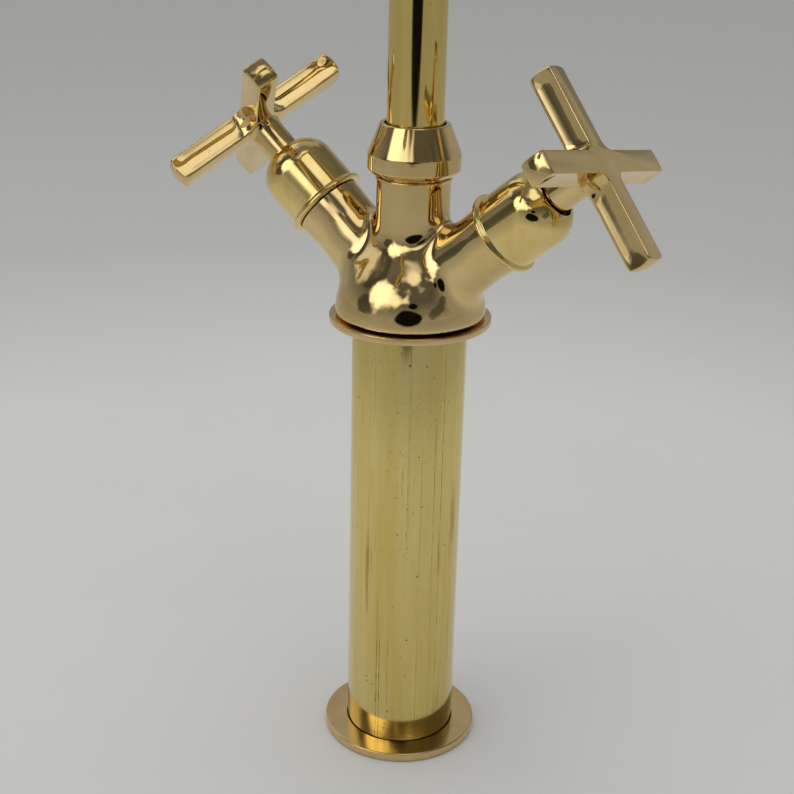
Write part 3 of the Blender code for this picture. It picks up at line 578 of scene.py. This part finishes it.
def solid_turned(name, outline, matrix=None):
    """A solid turned about Z from an open outline; flat ends are closed by polygons."""
    shape = bmesh.new()
    rings = []
    angles = [2 * pi * k / ROUGH_STEPS for k in range(ROUGH_STEPS)]
    for r, z in outline:
        if r < 1e-6:
            rings.append([shape.verts.new((0, 0, z))])
            continue
        rings.append([shape.verts.new((r * cos(a), r * sin(a), z)) for a in angles])
    for upper, lower in zip(rings, rings[1:]):
        for k in range(ROUGH_STEPS):
            j = (k + 1) % ROUGH_STEPS
            if len(upper) == 1:
                shape.faces.new((upper[0], lower[k], lower[j]))
            else:
                shape.faces.new((upper[k], lower[k], lower[j], upper[j]))
    for ends in (rings[0], rings[-1]):
        if len(ends) > 1:
            shape.faces.new(ends)
    bmesh.ops.recalc_face_normals(shape, faces=shape.faces)
    mesh = bpy.data.meshes.new(name)
    shape.to_mesh(mesh)
    shape.free()
    return new_object(name, mesh, matrix)


def relax_onto(mesh, floor, arms):
    """Pulls every vertex onto the blended surface, and evens out the spacing along it."""
    count = len(mesh.vertices)
    points = np.empty(count * 3)
    mesh.vertices.foreach_get("co", points)
    points = points.reshape(-1, 3)
    edges = np.empty(len(mesh.edges) * 2, dtype=np.int64)
    mesh.edges.foreach_get("vertices", edges)
    edges = edges.reshape(-1, 2)
    valence = np.bincount(edges.ravel(), minlength=count).astype(float)[:, None]
    step = 1e-5
    for sweep in range(RELAX_SWEEPS):
        last = sweep == RELAX_SWEEPS - 1
        for _ in range(3 if last else 1):
            value = casting_distance(points, floor, arms)
            moved = [casting_distance(points + step * axis, floor, arms) for axis in np.eye(3)]
            slope = np.stack([shifted - value for shifted in moved], 1) / step
            length = np.maximum(np.linalg.norm(slope, axis=1), 0.3)
            move = (value / length**2)[:, None] * slope
            points = points - np.clip(move, -RELAX_REACH, RELAX_REACH)
        if last:
            break
        mean = np.zeros_like(points)
        np.add.at(mean, edges[:, 0], points[edges[:, 1]])
        np.add.at(mean, edges[:, 1], points[edges[:, 0]])
        normal = slope / length[:, None]
        drift = mean / valence - points
        drift -= np.sum(drift * normal, axis=1)[:, None] * normal
        points = points + RELAX_SHARE * drift
    return points


def cut(obj, matrix, side):
    """Cuts the object at a matrix's XY plane, keeps what is below (side 1) or above it, and caps it."""
    shape = bmesh.new()
    shape.from_mesh(obj.data)
    normal = matrix.to_3x3() @ Vector((0, 0, side))
    geometry = shape.verts[:] + shape.edges[:] + shape.faces[:]
    done = bmesh.ops.bisect_plane(
        shape, geom=geometry, dist=1e-7, plane_co=matrix.translation, plane_no=normal, clear_outer=True
    )
    rim = [edge for edge in done["geom_cut"] if isinstance(edge, bmesh.types.BMEdge)]
    bmesh.ops.contextual_create(shape, geom=rim)
    shape.to_mesh(obj.data)
    shape.free()


def round_lip(mesh, floor):
    """Rolls the bell's lower edge under by a small radius."""
    for vertex in mesh.vertices:
        rise = vertex.co.z - floor
        if rise < LIP_ROUND and vertex.co.xy.length > BELL_RADIUS / 2:
            inset = LIP_ROUND - (LIP_ROUND**2 - (LIP_ROUND - rise) ** 2) ** 0.5
            vertex.co.xy *= (vertex.co.xy.length - inset) / vertex.co.xy.length
    mesh.update()


def ring_bead(points):
    """The bead round the neck's top, under the collar nut, with the threaded spigot above it."""
    radius, height = about_z(points)
    top = height.max()
    thread = radius[height > top - END_BAND].max()
    bore = radius[height > top - END_BAND].min()
    bead_top, foot = NECK_END + BEAD_RISE, NECK_END - BEAD_FOOT
    outline = [(bore, top), (thread, top), (thread, bead_top)]
    outline += arc_points(NECK_RADIUS - NEAR, bead_top - BEAD_ROLL, BEAD_ROLL, 80, -80, 8)
    outline += [(NECK_RADIUS - EDGE, foot), (bore, foot)]
    return lathe("neck_bead", outline, angle=50)


def spout():
    """The gooseneck: a drawn tube swept along the CAD tube's own centre line."""
    box_low, box_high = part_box("spout_tube")
    radius = (box_high[0] - box_low[0]) / 2
    bend = (box_high[1] - box_low[1]) / 2 - radius
    height = box_high[2] - radius - bend
    ends = node_points("spout_tube")
    outlet = ends[ends[:, 1] < -2 * bend + radius][:, 2].min()
    bottom = box_low[2]
    path = [Vector((0, 0, bottom)), Vector((0, 0, (bottom + height) / 2))]
    for i in range(SPOUT_BEND_STEPS + 1):
        angle = pi * i / SPOUT_BEND_STEPS
        path.append(Vector((0, -bend * (1 - cos(angle)), height + bend * sin(angle))))
    path.append(Vector((0, -2 * bend, outlet)))
    steps = SPOUT_STEPS
    angles = [2 * pi * k / steps for k in range(steps)]
    across = Vector((1, 0, 0))
    layers = []
    for i, place in enumerate(path):
        ahead = (path[min(i + 1, len(path) - 1)] - path[max(i - 1, 0)]).normalized()
        if i in (0, 1, 2):
            ahead = Vector((0, 0, 1))
        if i >= len(path) - 2:
            ahead = Vector((0, 0, -1))
        layers.append((place, ahead))
    points, faces = [], []
    for inner in (0, 1):
        size = radius - SPOUT_WALL * inner
        for place, ahead in layers:
            up = across.cross(ahead)
            points += [place + size * (across * cos(a) + up * sin(a)) for a in angles]
    rows = len(layers)
    for inner in (0, 1):
        for i in range(rows - 1):
            for k in range(steps):
                j = (k + 1) % steps
                low = (inner * rows + i) * steps
                quad = (low + k, low + j, low + steps + j, low + steps + k)
                faces.append(quad if inner == 0 else quad[::-1])
    for i in (0, rows - 1):
        for k in range(steps):
            j = (k + 1) % steps
            outer, inner = i * steps, (rows + i) * steps
            quad = (outer + k, outer + j, inner + j, inner + k)
            faces.append(quad if i else quad[::-1])
    mesh = bpy.data.meshes.new("gooseneck")
    mesh.from_pydata([tuple(p) for p in points], [], faces)
    fix_normals(mesh)
    shade(mesh)
    return new_object("gooseneck", mesh)


def aerator():
    """Turned outlet ring with rounded edges."""
    low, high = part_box("aerator_housing")
    centre = (Vector(low) + Vector(high)) / 2
    points = node_points("aerator_housing") - np.array([centre.x, centre.y, 0.0])
    radius, height = about_z(points)
    outer, mouth = radius.max(), radius.min()
    bore = radius[height > height.max() - NEAR].min()
    lip = sorted(set(np.round(height[radius < mouth + NEAR], 5)))[-1]
    bottom, top = height.min(), height.max()
    waist = bottom + RING_GROOVE_RISE
    groove = outer - RING_GROOVE
    edges = [(bore, top, EDGE), (outer, top, RING_ROUND)]
    edges += [(outer, waist + 2 * RING_GROOVE_WIDTH, EDGE)]
    edges += [(groove, waist + RING_GROOVE_WIDTH, RING_GROOVE_ROUND), (groove, waist, RING_GROOVE_ROUND)]
    edges += [(outer, waist - RING_GROOVE_WIDTH, EDGE)]
    edges += [(outer, bottom, RING_ROUND), (mouth, bottom, EDGE)]
    edges += [(mouth, lip, 0), (bore, lip, 0)]
    return lathe("aerator_ring", rounded(edges), Matrix.Translation((centre.x, centre.y, 0)))


# ---------------------------------------------------------------- materials


class Nodes:
    """A node tree, with short calls for the nodes that the finishes and the room use."""

    def __init__(self, tree):
        self.tree = tree

    def add(self, kind, **values):
        node = self.tree.nodes.new(kind)
        for key, value in values.items():
            if key in node.inputs:
                node.inputs[key].default_value = value
            else:
                setattr(node, key, value)
        return node

    def link(self, source, target):
        self.tree.links.new(source, target)

    def position(self, scale=(1.0, 1.0, 1.0)):
        coordinates = self.add("ShaderNodeTexCoord")
        mapping = self.add("ShaderNodeMapping")
        mapping.inputs["Scale"].default_value = scale
        self.link(coordinates.outputs["Object"], mapping.inputs["Vector"])
        return mapping.outputs["Vector"]

    def noise(self, where, scale, detail=3.0, roughness=0.55):
        node = self.add("ShaderNodeTexNoise", Scale=scale, Detail=detail, Roughness=roughness)
        self.link(where, node.inputs["Vector"])
        return node.outputs["Fac"]

    def spots(self, where, scale, size):
        node = self.add("ShaderNodeTexVoronoi", Scale=scale)
        self.link(where, node.inputs["Vector"])
        return self.band(node.outputs["Distance"], size, size * 0.45)

    def math(self, operation, a, b=0.0):
        node = self.add("ShaderNodeMath", operation=operation)
        for socket, value in zip(node.inputs, (a, b)):
            if isinstance(value, (int, float)):
                socket.default_value = value
            else:
                self.link(value, socket)
        return node.outputs[0]

    def split(self, where):
        node = self.add("ShaderNodeSeparateXYZ")
        self.link(where, node.inputs[0])
        return node.outputs

    def radius(self, parts):
        """Distance from the Z axis, from a split position."""
        square = self.math("POWER", parts["X"], 2.0)
        return self.math("SQRT", self.math("ADD", square, self.math("POWER", parts["Y"], 2.0)))

    def vector(self, operation, *values):
        node = self.add("ShaderNodeVectorMath", operation=operation)
        for socket, value in zip(node.inputs, values):
            if isinstance(value, tuple):
                socket.default_value = value
            else:
                self.link(value, socket)
        return node.outputs

    def band(self, value, low, high, to_low=0.0, to_high=1.0, shape="LINEAR"):
        node = self.add("ShaderNodeMapRange", interpolation_type=shape)
        node.inputs["From Min"].default_value = low
        node.inputs["From Max"].default_value = high
        node.inputs["To Min"].default_value = to_low
        node.inputs["To Max"].default_value = to_high
        self.link(value, node.inputs["Value"])
        return node.outputs["Result"]

    def mix(self, share, a, b):
        node = self.add("ShaderNodeMix", data_type="RGBA")
        for socket, value in ((node.inputs[6], a), (node.inputs[7], b)):
            if isinstance(value, tuple):
                socket.default_value = (*value, 1.0)
            else:
                self.link(value, socket)
        self.link(share, node.inputs[0])
        return node.outputs[2]


class Finish(Nodes):
    """A material, built up in its node tree."""

    def __init__(self, name):
        self.material = bpy.data.materials.new(name)
        self.material.use_nodes = True
        super().__init__(self.material.node_tree)
        self.shader = self.tree.nodes["Principled BSDF"]

    def bump(self, height, strength, distance):
        node = self.add("ShaderNodeBump", Strength=strength, Distance=distance)
        self.link(height, node.inputs["Height"])
        self.link(node.outputs["Normal"], self.shader.inputs["Normal"])

    def finish(self, colour, roughness, metallic=1.0):
        self.link(colour, self.shader.inputs["Base Color"])
        self.link(roughness, self.shader.inputs["Roughness"])
        self.shader.inputs["Metallic"].default_value = metallic
        return self.material


def polished_cast(name, colour, dull, rough):
    """Cast brass after buffing: soft waves left by the wheel, hairlines and a few pinholes."""
    made = Finish(name)
    where = made.position()
    cloud = made.noise(where, 55, 3)
    hair = made.noise(made.position((1.0, 1.0, 9.0)), 900, 2)
    pin = made.spots(where, 420, 0.09)
    rare = made.band(made.noise(where, 130, 1), 0.60, 0.66)
    pits = made.math("MULTIPLY", pin, rare)
    tone = made.mix(made.band(cloud, 0.35, 0.7), colour, dull)
    shaded = made.mix(pits, tone, PINHOLE)
    patchy = made.band(cloud, 0.3, 0.7, rough * 0.75, rough * 1.35)
    level = made.math("ADD", patchy, made.band(hair, 0.45, 0.8, 0.0, rough * 0.5))
    waves = made.math("MULTIPLY", made.noise(where, 95, 2, 0.4), 0.6)
    relief = made.math("SUBTRACT", waves, made.math("MULTIPLY", pits, 1.2))
    made.bump(relief, 1.0, 0.0001)
    return made.finish(shaded, level)


def satin_face():
    """Front face of the cross, ground flat on a belt."""
    made = Finish("satin_face")
    where = made.position()
    grain = made.noise(made.position((14.0, 1.0, 1.0)), 260, 4)
    cloud = made.noise(where, 70, 3)
    rare = made.band(made.noise(where, 110, 1), 0.58, 0.64)
    pin = made.math("MULTIPLY", made.spots(where, 360, 0.10), rare)
    tone = made.mix(made.band(cloud, 0.3, 0.75), (0.93, 0.59, 0.14), (0.84, 0.50, 0.10))
    tone = made.mix(pin, tone, PINHOLE)
    level = made.band(grain, 0.3, 0.7, 0.30, 0.42)
    relief = made.math("SUBTRACT", made.math("MULTIPLY", grain, 0.08), pin)
    made.bump(relief, 0.7, 0.00008)
    return made.finish(tone, level)


def drawn_tube(name, colour, dull, rough, marks):
    """Drawn brass tube: fine lines along it, small brown pits and, where asked, tarnish streaks."""
    made = Finish(name)
    where = made.position()
    lines = made.noise(made.position((1.0, 1.0, 0.02)), 900, 3)
    broad = made.noise(made.position((1.0, 1.0, 0.06)), 150, 3)
    cloud = made.noise(made.position((1.0, 1.0, 0.3)), 60, 3)
    tone = made.mix(made.band(broad, 0.35, 0.68), colour, dull)
    age = made.band(made.noise(where, 42, 2), 0.48, 0.66)
    rare = made.band(made.noise(where, 75, 2), 0.50, 0.60)
    pits = made.math("MULTIPLY", made.spots(where, 300, 0.13), rare)
    specks = made.math("MULTIPLY", made.spots(made.position((1.0, 1.0, 0.55)), 900, 0.20), age)
    marked = made.math("MAXIMUM", pits, made.math("MULTIPLY", specks, 0.75))
    amount = MARKED_TUBE if marks else CLEAN_TUBE
    tone = made.mix(made.math("MULTIPLY", marked, amount), tone, SPECK)
    level = made.band(lines, 0.3, 0.7, rough * 0.8, rough * 1.3)
    level = made.math("ADD", level, made.band(cloud, 0.4, 0.8, 0.0, rough * 0.4))
    if marks:
        drawn = made.band(made.noise(made.position((1.0, 1.0, 0.045)), 420, 3), 0.60, 0.70)
        patchy = made.band(made.noise(made.position((1.0, 1.0, 0.5)), 55, 3), 0.46, 0.62)
        share = made.math("MULTIPLY", made.math("MULTIPLY", drawn, patchy), 0.75)
        tone = made.mix(share, tone, TARNISH_LINE)
    for bearing, half_width, low, high, strength in marks:
        streak = tarnish_streak(made, radians(bearing), half_width, low, high)
        tone = made.mix(made.math("MULTIPLY", streak, strength), tone, TARNISH_STREAK)
        level = made.math("ADD", level, made.math("MULTIPLY", streak, 0.18))
    fine = made.math("MULTIPLY", lines, 0.12)
    made.bump(made.math("SUBTRACT", fine, made.math("MULTIPLY", marked, amount)), 0.5, 0.00005)
    return made.finish(tone, level)


def tarnish_streak(made, bearing, half_width, low, high):
    """A narrow mark along the tube, at a bearing round it and between two heights."""
    parts = made.split(made.position())
    angle = made.math("ARCTAN2", parts["Y"], parts["X"])
    sway = made.band(made.noise(made.position((0.2, 0.2, 1.0)), 30, 2), 0.3, 0.7, -half_width, half_width)
    off = made.math("ABSOLUTE", made.math("ADD", made.math("SUBTRACT", angle, bearing), sway))
    across = made.band(off, half_width, half_width * 0.3)
    patchy = made.band(made.noise(made.position((0.3, 0.3, 1.0)), 160, 3), 0.38, 0.62, 0.25, 1.0)
    rise = made.band(parts["Z"], low - 0.008, low + 0.004)
    fade = made.math("MULTIPLY", rise, made.band(parts["Z"], high + 0.008, high - 0.004))
    return made.math("MULTIPLY", made.math("MULTIPLY", across, patchy), fade)


def turned_ring(name, colour, dull, rough):
    """Turned flange: fine rings from the lathe tool, and light handling marks."""
    made = Finish(name)
    parts = made.split(made.position())
    join = made.add("ShaderNodeCombineXYZ")
    made.link(made.radius(parts), join.inputs["X"])
    made.link(parts["Z"], join.inputs["Y"])
    rings = made.noise(join.outputs[0], 2600, 2)
    cloud = made.noise(made.position(), 80, 3)
    tone = made.mix(made.band(cloud, 0.35, 0.75), colour, dull)
    level = made.band(rings, 0.3, 0.7, rough * 0.8, rough * 1.3)
    made.bump(rings, 0.25, 0.00003)
    return made.finish(tone, level)


def plain_finish(name, colour, dull, rough, metallic):
    """A matt or machined inner piece: cloudy colour, uneven roughness and a fine grain."""
    made = Finish(name)
    where = made.position()
    grain = made.noise(where, 1800, 2)
    cloud = made.noise(where, 300, 3)
    tone = made.mix(made.band(cloud, 0.3, 0.7), colour, dull)
    level = made.band(grain, 0.3, 0.7, rough * 0.85, min(rough * 1.2, 1.0))
    made.bump(grain, 0.3, 0.00003)
    return made.finish(tone, level, metallic)


def make_materials():
    return {
        "cast": polished_cast("cast_brass_polished", (0.79, 0.595, 0.285), (0.70, 0.51, 0.22), 0.045),
        "face": satin_face(),
        "column": drawn_tube(
            "drawn_brass_column", (0.80, 0.65, 0.26), (0.70, 0.54, 0.17), 0.09, COLUMN_STREAKS
        ),
        "spout": drawn_tube("drawn_brass_spout", (0.82, 0.64, 0.23), (0.74, 0.55, 0.17), 0.06, ()),
        "cap": drawn_tube("spun_brass_cap", (0.86, 0.67, 0.28), (0.78, 0.58, 0.22), 0.05, ()),
        "turned": turned_ring("turned_brass_flange", (0.78, 0.57, 0.29), (0.68, 0.47, 0.21), 0.20),
        "valve": plain_finish("machined_brass", (0.72, 0.56, 0.28), (0.60, 0.45, 0.20), 0.34, 1.0),
        "copper": plain_finish("copper_feed", (0.80, 0.45, 0.30), (0.62, 0.32, 0.20), 0.36, 1.0),
        "steel": plain_finish("stainless_clip", (0.60, 0.60, 0.61), (0.48, 0.48, 0.50), 0.30, 1.0),
        "rubber": plain_finish("seal_rubber", (0.030, 0.030, 0.030), (0.045, 0.044, 0.042), 0.70, 0.0),
        "ceramic": plain_finish("lapped_ceramic", (0.84, 0.83, 0.79), (0.78, 0.77, 0.73), 0.18, 0.0),
        "nylon": plain_finish("nylon_insert", (0.78, 0.78, 0.75), (0.70, 0.70, 0.66), 0.45, 0.0),
    }


SLOT_FINISH = {
    "cast_brass": "cast", "drawn_brass": "spout", "turned_brass": "turned", "valve_brass": "valve",
    "copper": "copper", "steel": "steel", "rubber": "rubber", "ceramic": "ceramic", "nylon": "nylon",
}


def dress(obj, *materials):
    obj.data.materials.clear()
    for material in materials:
        obj.data.materials.append(material)


def place(obj, body, slot, nodes, *materials):
    dress(obj, *materials)
    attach(obj, body)
    if nodes:
        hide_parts(*nodes)


def make_pieces(finish):
    casting_piece, bead = casting()
    place(casting_piece, "mixer", "cast_brass", ["mixer_body"], finish["cast"])
    place(bead, "mixer", "cast_brass", [], finish["cast"])
    place(collar(), "mixer", "cast_brass", ["spout_collar_nut"], finish["cast"])
    place(tube("column", "column_tube"), "mixer", "drawn_brass", ["column_tube"], finish["column"])
    for name, node, chamfer in (
        ("deck_flange", "base_flange", DECK_CHAMFER),
        ("body_flange", "upper_flange", BODY_CHAMFER),
    ):
        place(flange(name, node, chamfer), "mixer", "turned_brass", [node], finish["turned"])
    place(spout(), "spout", "drawn_brass", ["spout_tube"], finish["spout"])
    place(aerator(), "spout", "cast_brass", ["aerator_housing"], finish["cast"])
    for side in ("hot", "cold"):
        place(bonnet_cap(side), "mixer", "drawn_brass", [f"{side}_bonnet_cap"], finish["cap"])
        node = f"{side}_cross_handle"
        place(handle(side), f"{side}_valve", "cast_brass", [node], finish["cast"], finish["face"])


def dress_frame(finish):
    """The CAD nodes that stay in view or inside get the finish of their slot."""
    for part in frame["record"]["subparts"]:
        node = frame["nodes"][part["node"]]
        dress(node, finish[SLOT_FINISH[part["material_slot"]]])


# ---------------------------------------------------------------- studio


def make_camera():
    right = Vector((cos(CAMERA_AZIMUTH), sin(CAMERA_AZIMUTH), 0))
    ahead = Vector((-sin(CAMERA_AZIMUTH), cos(CAMERA_AZIMUTH), 0))
    turned_ahead = ahead * cos(CAMERA_PAN) + right * sin(CAMERA_PAN)
    turned_right = right * cos(CAMERA_PAN) - ahead * sin(CAMERA_PAN)
    forward = turned_ahead * cos(CAMERA_PITCH) + Vector((0, 0, sin(CAMERA_PITCH)))
    up = Vector((0, 0, cos(CAMERA_PITCH))) - turned_ahead * sin(CAMERA_PITCH)
    side = turned_right * cos(CAMERA_ROLL) + up * sin(CAMERA_ROLL)
    top = up * cos(CAMERA_ROLL) - turned_right * sin(CAMERA_ROLL)
    data = bpy.data.cameras.new("camera")
    data.lens = CAMERA_LENS
    data.sensor_width = 36.0
    data.clip_start = 0.01
    camera = bpy.data.objects.new("camera", data)
    turn = Matrix((side, top, -forward)).transposed().to_4x4()
    spot = -ahead * CAMERA_DISTANCE + Vector((0, 0, CAMERA_HEIGHT))
    camera.matrix_world = Matrix.Translation(spot) @ turn
    bpy.context.scene.collection.objects.link(camera)
    bpy.context.scene.camera = camera


def plane(name, size, matrix):
    mesh = bpy.data.meshes.new(name)
    x, y = size[0] / 2, size[1] / 2
    mesh.from_pydata([(-x, -y, 0), (x, -y, 0), (x, y, 0), (-x, y, 0)], [], [(0, 1, 2, 3)])
    obj = new_object(name, mesh)
    obj.matrix_world = matrix
    return obj


def facing(spot, target):
    """A matrix at spot whose -Z looks at target."""
    turn = (Vector(spot) - Vector(target)).to_track_quat("Z", "Y")
    return Matrix.Translation(spot) @ turn.to_matrix().to_4x4()


def area_light(name, spot, target, size, power, colour):
    data = bpy.data.lights.new(name, "AREA")
    data.shape = "RECTANGLE"
    data.size, data.size_y = size
    data.energy = power
    data.color = colour
    light = bpy.data.objects.new(name, data)
    light.matrix_world = facing(spot, target)
    light.visible_glossy = False
    bpy.context.scene.collection.objects.link(light)


def make_floor():
    """Pale paper with faint scuffs, and a painted pool of light: the tone is painted lighter near the
    object and darker further out.
    """
    made = Finish("floor_paper")
    where = made.position()
    painted_falloff = made.band(made.radius(made.split(where)), *FLOOR_PAINTED_FALLOFF)
    cloud = made.noise(where, 7, 4)
    scuff = made.noise(made.position((1.0, 2.5, 1.0)), 28, 6, 0.72)
    fine = made.noise(where, 160, 4, 0.7)
    near = made.mix(made.band(cloud, 0.3, 0.7), FLOOR_PAINTED_LIT_NEAR, tuple(0.97 * level for level in FLOOR_PAINTED_LIT_NEAR))
    # Painted light falloff: the paper's tone is painted from lit near the column to dim further out
    tone = made.mix(painted_falloff, near, FLOOR_PAINTED_DIM_FAR)
    marks = made.math("MULTIPLY", made.band(scuff, 0.60, 0.74), made.band(fine, 0.40, 0.70, 0.1, 0.45))
    tone = made.mix(marks, tone, tuple(0.86 * level for level in FLOOR_PAINTED_LIT_NEAR))
    made.shader.inputs["Specular IOR Level"].default_value = 0.25
    made.finish(tone, made.band(scuff, 0.3, 0.8, 0.60, 0.80), 0.0)
    floor = plane("floor", (FLOOR_SIZE, FLOOR_SIZE), Matrix.Translation((0, 0, -FLOOR_DROP)))
    dress(floor, made.material)


def make_dark_card(name, bearing, distance, middle, size):
    """A black card out of the camera's sight, as studios use to give polished metal its dark lines."""
    made = Finish(name)
    made.shader.inputs["Base Color"].default_value = (0.008, 0.008, 0.008, 1.0)
    made.shader.inputs["Roughness"].default_value = 1.0
    made.shader.inputs["Specular IOR Level"].default_value = 0.0
    where = made.position((2 / size[0], 2 / size[1], 1.0))
    ragged = made.band(made.noise(where, 0.9, 0), 0.3, 0.7, 0.0, 0.2)
    edge = made.math("ADD", made.vector("LENGTH", where)["Value"], ragged)
    made.link(made.band(edge, 1.0, 0.84), made.shader.inputs["Alpha"])
    out = Vector((sin(bearing), -cos(bearing), 0))
    upright = out.to_track_quat("Z", "Y").to_matrix().to_4x4()
    card = plane(name, size, Matrix.Translation(out * distance + Vector((0, 0, middle))) @ upright)
    dress(card, made.material)
    card.visible_camera = False
    card.visible_diffuse = False
    card.visible_shadow = False


def bearing_vector(bearing, rise):
    """Unit vector at a bearing round Z, counted from +X, and a rise above the horizon, both in degrees."""
    across = cos(radians(rise))
    return (across * cos(radians(bearing)), across * sin(radians(bearing)), sin(radians(rise)))


def make_light():
    """A pale room: even fill for the matt floor, and soft bright and dark areas for the metal to mirror."""
    world = bpy.data.worlds.new("studio")
    bpy.context.scene.world = world
    world.use_nodes = True
    made = Nodes(world.node_tree)
    direction = made.add("ShaderNodeTexCoord").outputs["Generated"]
    ramp = made.add("ShaderNodeValToRGB")
    made.link(made.split(direction)["Z"], ramp.inputs["Fac"])
    stops = ramp.color_ramp.elements
    stops[0].position = ROOM_RAMP[0][0]
    stops[1].position = ROOM_RAMP[-1][0]
    for position, _ in ROOM_RAMP[1:-1]:
        stops.new(position)
    for stop, (_, level) in zip(stops, ROOM_RAMP):
        stop.color = (level, level, level * 0.99, 1.0)

    ragged = made.add("ShaderNodeTexNoise", Scale=2.6, Detail=2.0)
    made.link(direction, ragged.inputs["Vector"])
    centred = made.vector("SUBTRACT", ragged.outputs["Color"], (0.5, 0.5, 0.5))["Vector"]
    spread = (2 * ROOM_RAGGED, 2 * ROOM_RAGGED, 2 * ROOM_RAGGED)
    wander = made.vector("MULTIPLY_ADD", centred, spread, direction)["Vector"]
    unit = made.vector("NORMALIZE", wander)["Vector"]
    colour = ramp.outputs["Color"]
    for bearing, rise, inner, outer, share, level in ROOM_AREAS:
        dot = made.vector("DOT_PRODUCT", unit, bearing_vector(bearing, rise))["Value"]
        mask = made.band(dot, cos(radians(outer)), cos(radians(inner)), 0.0, share, "SMOOTHSTEP")
        colour = made.mix(mask, colour, (level, level, level * 0.97))

    path = made.add("ShaderNodeLightPath").outputs
    fill = made.mix(path["Is Diffuse Ray"], colour, (WORLD_FILL, WORLD_FILL, WORLD_FILL))
    seen = made.mix(path["Is Camera Ray"], fill, (BACKDROP, BACKDROP, 0.98 * BACKDROP))
    made.link(seen, made.tree.nodes["Background"].inputs["Color"])
    area_light("overhead", (-0.25, -0.15, 1.30), (0, 0, 0.15), (1.2, 1.2), 5.5, (1.0, 0.99, 0.97))
    view = bpy.context.scene.view_settings
    view.view_transform = "Standard"
    view.look = "None"


def main():
    make_camera()
    finish = make_materials()
    dress_frame(finish)
    make_pieces(finish)
    make_floor()
    for name, offset, distance, middle, size in DARK_CARDS:
        make_dark_card(name, CAMERA_AZIMUTH + radians(offset), distance, middle, size)
    make_light()


main()
